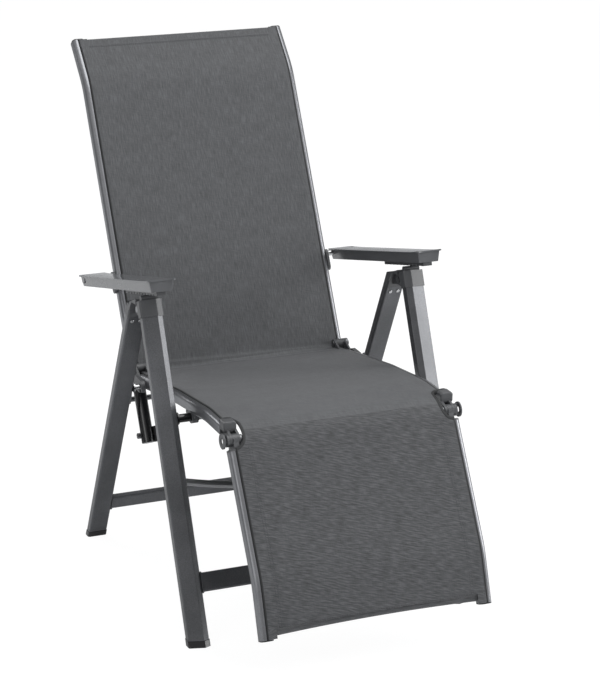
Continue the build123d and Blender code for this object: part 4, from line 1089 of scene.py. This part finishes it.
        def positions(entry: tuple[int, Vector]) -> Row:
            """One row of the hem."""
            index, place = entry
            row = []
            for x in steps(-self.bar_half_width, self.bar_half_width, self.hem_columns):
                bow = rise * (1 - (x / self.bar_half_width) ** 2) * min(1.0, index / down)
                flat = place - travel * bow
                row.append((Vector((x, flat.x, flat.y)), x, from_s + index * self.hem_row))
            return row

        piece = self.grid(name, list(enumerate(path)), positions)
        self.sew(piece, stretch, from_s, groove_shaded=False)
        length = sum((b - a).length for a, b in zip(path, path[1:]))

    def corner_strip(self, side: Side, start: float, end: float, stretch: Stretch) -> None:
        """Carry the fabric's edge on, beside a hem, to the end of the rail.

        Args:
            side: the side of the chair.
            start: where the strip begins on the line.
            end: where it ends.
            stretch: the stretch that it belongs to.
        """
        edge = self.half_width
        inner = self.bar_half_width - self.corner_overlap
        columns = [(edge, self.flange), (edge, self.flange * 0.5)]
        columns += [(edge - inwards, depth) for inwards, depth in RAIL_ROLL]
        columns += [(x, 0.0) for x in reversed(steps(inner, edge - 2.0 * MM, 5))]

        def positions(s: float) -> Row:
            """One row of the strip."""
            return [(self.point(side.value * x, s, depth), x + depth, s) for x, depth in columns]

        place = "top" if stretch.motion is Motion.BACK else "foot"
        piece = self.grid(f"sling_corner_{place}_{side.suffix}", steps(start, end, 6), positions)
        self.sew(piece, stretch, (start + end) / 2, groove_shaded=True)
        f"back_rail_{side.suffix}"
        f"rest_rail_{side.suffix}"

    def binding(self, side: Side, stretch: Stretch) -> None:
        """Bind the fabric's cut edge at one knee with a dark tape.

        Args:
            side: the side of the chair.
            stretch: the stretch of fabric whose edge is bound.
        """
        start = max(stretch.start, self.knee - self.knee_cut_before)
        end = min(stretch.end, self.knee + self.knee_cut_after)
        probe = 0.5 * MM

        def positions(s: float) -> Row:
            """One ring of the tape, drawn across the edge's own direction."""
            before, after = self.edge(max(start, s - probe)), self.edge(min(end, s + probe))
            slope = Vector((after - before, 2 * probe)).normalized()
            inward = Vector((-slope.y, slope.x))
            ring = []
            for angle in steps(0.0, math.tau, self.binding_sides):
                along = self.binding_width / 2 * (1 - signed_power(math.cos(angle), 0.6))
                depth = self.binding_thickness / 2 * signed_power(math.sin(angle), 0.8)
                across = self.edge(s) + inward.x * (along - self.binding_inset)
                run = s + inward.y * (along - self.binding_inset)
                ring.append((self.point(side.value * across, run, depth), along, s))
            return ring

        tape = self.grid(f"knee_binding_{stretch.name}_{side.suffix}",
                         steps(start, end, self.binding_rows), positions)
        edit(tape)
        bpy.ops.mesh.remove_doubles(threshold=2 * MERGE)
        bpy.ops.mesh.select_all(action="DESELECT")
        bpy.ops.mesh.select_non_manifold()
        bpy.ops.mesh.fill()
        settle(tape, tape.name, 60)
        dress(tape, self.finishes.piping)
        self.move_with(tape, stretch)

    def stitching(self, name: str, start: Point, end: Point, stretch: Stretch) -> None:
        """Sew one seam of single stitches on the sitter's side of the fabric.

        Args:
            name: the seam's name.
            start: its start, as (X, distance along the sling).
            end: its end.
            stretch: the stretch that it lies on.
        """
        deselect()
        bpy.ops.mesh.primitive_uv_sphere_add(segments=6, ring_count=4, radius=0.5)
        grain = bpy.context.object
        (x0, s0), (x1, s1) = start, end
        reach = math.hypot(x1 - x0, s1 - s0)
        half = self.stitch / 2 / reach
        above = -self.thickness / 2 - 0.15 * MM
        size = Matrix.Diagonal((self.stitch, self.stitch_width, self.stitch_height, 1.0))
        places = []
        for i in range(int(reach / self.stitch_pitch)):
            t = (i + 0.5) * self.stitch_pitch / reach
            a, b = (self.point(x0 + (x1 - x0) * at, s0 + (s1 - s0) * at, above)
                    for at in (t - half, t + half))
            turn = (b - a).to_track_quat("X", "Z").to_matrix().to_4x4()
            places.append(Matrix.Translation((a + b) / 2) @ turn @ size)
        seam = repeated(grain, places, name)
        dress(seam, self.finishes.thread)
        self.move_with(seam, stretch)

    def knee_loops(self) -> None:
        """Tie the binding off in a small loop over each knee housing."""
        corners = [Vector(p) * MM for p in KNEE_LOOP]
        smooth = []
        for i in range(len(corners) - 1):
            before, after = corners[max(i - 1, 0)], corners[min(i + 2, len(corners) - 1)]
            a, b = corners[i], corners[i + 1]
            for j in range(6):
                t = j / 6
                smooth.append(0.5 * (2 * a + (b - before) * t
                                     + (2 * before - 5 * a + 4 * b - after) * t * t
                                     + (3 * a - before - 3 * b + after) * t ** 3))
        smooth.append(corners[-1])
        loop = swept("knee_loop_right", smooth, self.loop_radius)
        dress(loop, self.finishes.piping)
        for piece in pair(loop, "knee_loop").values():
            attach(piece, "seat")

    def plan(self) -> list[Stretch]:
        """The seven stretches from top to foot, each with its weave and row spacing."""
        # The back and leg-rest weaves carry painted shade: darker copies of the seat's.
        back, seat, rest = (self.finishes.shaded_back_weave, self.finishes.seat_weave,
                            self.finishes.shaded_rest_weave)
        cuts = (self.top_bar_s + self.hem_reach, self.crease - self.hinge_run, self.crease,
                self.crease + self.hinge_run, self.knee - self.knee_run, self.knee,
                self.knee + self.knee_run, self.foot_bar_s - self.hem_reach)
        weaves = (back, back, seat, seat, seat, rest, rest)
        return [Stretch(*stretch)
                for stretch in zip(Motion, cuts, cuts[1:], weaves, self.row_spacing)]

    def build(self) -> None:
        """Make the whole sling."""
        plan = self.plan()
        first, knee_lower, last = plan[0], plan[5], plan[6]
        top, foot = first.start, last.end
        made = [self.lay(stretch) for stretch in plan]
        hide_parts("back_sling")
        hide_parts("seat_sling")
        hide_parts("rest_sling")
        self.hem("hem_top", self.top_bar, top, 0.0, first)
        self.hem("hem_foot", self.foot_bar, foot, self.foot_bar_rise, last)
        for side in Side:
            self.corner_strip(side, self.rail_end, top, first)
            self.corner_strip(side, foot, self.line.total - self.rail_end, last)
            for stretch in plan[4:6]:
                self.binding(side, stretch)
            for inset in self.side_seams:
                x = side.value * (self.half_width - inset)
                end = f"{round(inset / MM)}_{side.suffix}"
                self.stitching(f"seam_rest_{end}", (x, last.start), (x, foot), last)
                self.stitching(f"seam_knee_{end}", (x, self.knee + self.knee_cut_after),
                               (x, knee_lower.end), knee_lower)
        wide = self.bar_half_width - self.hem_seam_end
        for number, inset in enumerate(self.hem_seams):
            for end, s, stretch in (("top", top + inset, first), ("foot", foot - inset, last)):
                self.stitching(f"seam_{end}_{number}", (-wide, s), (wide, s), stretch)
        self.knee_loops()
        log.info("sling: %d stretches, %.0f mm long", len(plan), self.line.total / MM)


@dataclass
class Armrest:
    """A moulded armrest: a glossy top plate with an overhanging lip over a tapering tray."""

    finishes: Finishes
    width: float = 60.0 * MM
    front: Point = (-0.1578, 0.7325)
    rear: Point = (0.3132, 0.6270)
    middle_x: float = 301.0 * MM
    plate: float = 3.6 * MM
    lip: float = 4.0 * MM
    height: float = 25.0 * MM
    taper: float = 3.6 * MM
    wall: float = 2.6 * MM
    corner: float = 5.0 * MM
    gap: float = 1.0 * MM          # under the plate, and beside the ribs
    dish: float = 5.0 * MM
    dish_length: float = 26.0 * MM
    ear: float = 1.2 * MM          # how far the front corners lift
    crown: float = 1.4 * MM
    skin: float = 0.5 * MM         # a vertex this close below a face counts as on it
    rib: float = 1.8 * MM
    rib_depth: float = 14.0 * MM
    rib_shares: Size = (-0.30, -0.18, 0.44)
    pivot: Point = (0.292516, 0.6220)
    hub_radius: float = 9.5 * MM
    hub_length: float = 26.0 * MM
    hub_neck: float = 22.0 * MM
    hub_inset: float = 17.0 * MM

    def __post_init__(self) -> None:
        """Work out the armrest's own frame: x forwards, z out of its top face."""
        (y0, z0), (y1, z1) = self.front, self.rear
        forward = Vector((0, y0 - y1, z0 - z1))
        self.length = forward.length
        forward.normalize()
        up = forward.cross(Vector((1, 0, 0)))
        turn = Matrix((forward, up.cross(forward), up)).transposed().to_4x4()
        middle = Vector((self.middle_x, (y0 + y1) / 2, (z0 + z1) / 2))
        self.place = Matrix.Translation(middle) @ turn

    def tray(self) -> bpy.types.Object:
        """Model the plate and the tray below it, from one box."""
        shell = block((self.length, self.width, self.plate), (0, 0, -self.plate / 2), self.corner)
        depth = self.height - self.plate
        select_parts(shell, "FACE", lambda f: f.normal.z < -UPRIGHT)
        slope_x = 2 * self.taper / (self.length - 2 * self.lip)
        slope_y = 2 * self.taper / (self.width - 2 * self.lip)
        for border, drop, way in ((self.lip, -depth, -1), (self.wall, depth - self.gap, 1)):
            bpy.ops.mesh.inset(thickness=border)
            bpy.ops.mesh.extrude_region_move(TRANSFORM_OT_translate={"value": (0, 0, drop)})
            bpy.ops.transform.resize(value=(1 + way * slope_x, 1 + way * slope_y, 1))
        for normal, size, count in (((0, 1, 0), self.width, 8), ((1, 0, 0), self.length, 24)):
            for step in range(1 - count // 2, count // 2):
                bpy.ops.mesh.select_all(action="SELECT")
                bpy.ops.mesh.bisect(plane_co=Vector(normal) * (size * step / count),
                                    plane_no=normal)
        bpy.ops.object.mode_set(mode="OBJECT")
        for vertex in shell.data.vertices:
            self.shape(vertex.co)
        return shell

    def shape(self, co: Vector) -> None:
        """Dish the front edge, crown the top a little and lift the front corners."""
        across = co.y / (self.width / 2)
        if co.z > -self.plate - self.skin:
            near = max(0.0, 1 - (self.length / 2 - co.x) / self.dish_length)
            co.x -= self.dish * (1 - across ** 2) * near ** 2
            co.z += self.ear * near ** 2 * abs(across) ** 3
        if co.z > -self.skin:
            ends = max(0.0, 1 - (abs(co.x) / (self.length / 2)) ** 8)
            co.z -= self.crown * (across ** 2) * ends

    def ribs(self) -> list[bpy.types.Object]:
        """The thin stiffening ribs across the hollow underside, and the hub at the rear."""
        inner = self.width - 2 * (self.lip + self.wall) - self.gap
        made = [block((self.rib, inner, self.rib_depth),
                      (self.length * share, 0, -self.plate - self.rib_depth / 2))
                for share in self.rib_shares]
        centre = self.place.inverted() @ Vector((self.middle_x, *self.pivot))
        centre.y = self.width / 2 - self.hub_inset
        bpy.ops.mesh.primitive_cylinder_add(vertices=40, radius=self.hub_radius,
                                            depth=self.hub_length, location=centre,
                                            rotation=(math.pi / 2, 0, 0))
        made.append(bpy.context.object)
        made.append(block((2 * self.hub_radius, self.hub_neck, -centre.z - self.plate),
                          (centre.x, centre.y, (centre.z - self.plate) / 2)))
        return made

    def build(self) -> None:
        """Make both armrests and set them on their bodies."""
        shell = self.tray()
        bevel(shell, 0.7 * MM, 2, 40)
        whole = joined([shell, *self.ribs()])
        whole.data.transform(self.place)
        settle(whole, "armrest_shell_right", 32)
        dress(whole, self.finishes.arms)
        for side, piece in pair(whole, "armrest_shell").items():
            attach(piece, f"armrest_{side.suffix}")
            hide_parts(f"armrest_{side.suffix}")
        log.info("armrests: %.0f mm long, %d faces each", self.length / MM,
                 len(whole.data.polygons))


@dataclass
class Studio:
    """A plain pale studio: floor, soft lamps, white surround and the camera."""

    camera_at: Size = (-1.81879, -4.46427, 1.98375)
    target: Size = (0.0, -0.1548, 0.5473)
    lamp_target: Size = (0, -0.05, 0.55)
    focal_px: float = 2330.1
    frame_px: tuple[int, int] = (600, 700)
    axis_px: Point = (298.3, 349.6)
    soft_light: float = 0.55
    sky_heights: Point = (0.05, 0.75)
    sky_levels: Point = (0.30, 0.95)
    floor_share: float = 0.84
    floor_glow: float = 1.1

    @staticmethod
    def aimed(thing: bpy.types.Object, at: Size, target: Size) -> None:
        """Link a camera or lamp and turn it from its place to a target."""
        bpy.context.scene.collection.objects.link(thing)
        thing.location = at
        thing.rotation_euler = (Vector(target) - Vector(at)).to_track_quat("-Z", "Y").to_euler()

    def camera(self) -> None:
        """Place the camera as the photograph was taken."""
        wide, tall = self.frame_px
        data = bpy.data.cameras.new("view")
        data.sensor_width = 36.0
        data.lens = self.focal_px * data.sensor_width / max(self.frame_px)
        data.shift_x = (wide / 2 - self.axis_px[0]) / max(self.frame_px)
        data.shift_y = (self.axis_px[1] - tall / 2) / max(self.frame_px)
        data.clip_start, data.clip_end = 0.1, 60.0
        camera = bpy.data.objects.new("view", data)
        self.aimed(camera, self.camera_at, self.target)
        bpy.context.scene.camera = camera

    def lamp(self, name: str, at: Size, size: Point, watts: float) -> None:
        """Hang one soft box that faces the chair.

        Args:
            name: the lamp's name.
            at: its place.
            size: its width and height in metres.
            watts: its power.
        """
        data = bpy.data.lights.new(name, "AREA")
        data.shape, data.size, data.size_y, data.energy = "RECTANGLE", *size, watts
        self.aimed(bpy.data.objects.new(name, data), at, self.lamp_target)

    def surround(self) -> None:
        """Make the world: white when seen, soft as light, shaded by height in reflections."""
        world = bpy.data.worlds.new("surround")
        bpy.context.scene.world = world
        nodes = Shading(world)
        way = nodes.add("TexCoord").outputs["Generated"]
        height = nodes.add("SeparateXYZ", links={0: way}).outputs["Z"]
        shade = nodes.spread(height, *self.sky_levels, *self.sky_heights)
        glossy = nodes.add("LightPath").outputs["Is Glossy Ray"]
        soft = nodes.add("Background", {"Color": (0.95, 0.97, 1.0, 1),
                                        "Strength": self.soft_light})
        sky = nodes.add("Background", {"Color": (1, 1, 1, 1)}, {"Strength": shade})
        white = nodes.add("Background", {"Color": (1, 1, 1, 1), "Strength": 1.0})
        unseen = nodes.mixed(glossy, soft.outputs[0], sky.outputs[0])
        mix = nodes.mixed(nodes.shown(), unseen, white.outputs[0])
        nodes.add("OutputWorld", links={"Surface": mix})

    def floor(self) -> None:
        """Lay a pale floor that keeps the chair's soft shadow and runs into the surround."""
        deselect()
        bpy.ops.mesh.primitive_plane_add(size=40, location=(0, 0, -0.5 * MM))
        floor = bpy.context.object
        floor.name = "studio_floor"
        nodes = Shading(bpy.data.materials.new("pale_floor"))
        share = nodes.maths("MULTIPLY", nodes.shown(), self.floor_share)
        matt = nodes.add("BsdfDiffuse", {"Color": (0.9, 0.9, 0.9, 1)})
        glow = nodes.add("Emission", {"Color": (1, 1, 1, 1), "Strength": self.floor_glow})
        mix = nodes.mixed(share, matt.outputs[0], glow.outputs[0])
        nodes.add("OutputMaterial", links={"Surface": mix})
        floor.data.materials.append(nodes.owner)

    def build(self) -> None:
        """Set up the whole studio."""
        bpy.context.scene.view_settings.view_transform = "Standard"
        self.camera()
        self.surround()
        self.floor()
        self.lamp("soft_box_right", (3.5, -1.85, 1.55), (1.6, 2.4), 95)
        self.lamp("soft_box_top", (0.6, -0.6, 3.6), (2.4, 2.4), 60)
        self.lamp("soft_box_left", (-3.2, -2.2, 1.6), (1.4, 1.8), 18)
        self.lamp("soft_box_back", (-1.6, 3.6, 2.3), (1.8, 1.6), 40)
        log.info("studio set up")


def main() -> None:
    """Build the armchair's looks in order."""
    logging.basicConfig(level=logging.INFO, format="%(message)s")
    Studio().build()
    finishes = Finishes()
    CarriedParts(finishes).dress()
    SlingFabric(finishes).build()
    Armrest(finishes).build()


if __name__ == "__main__":
    main()
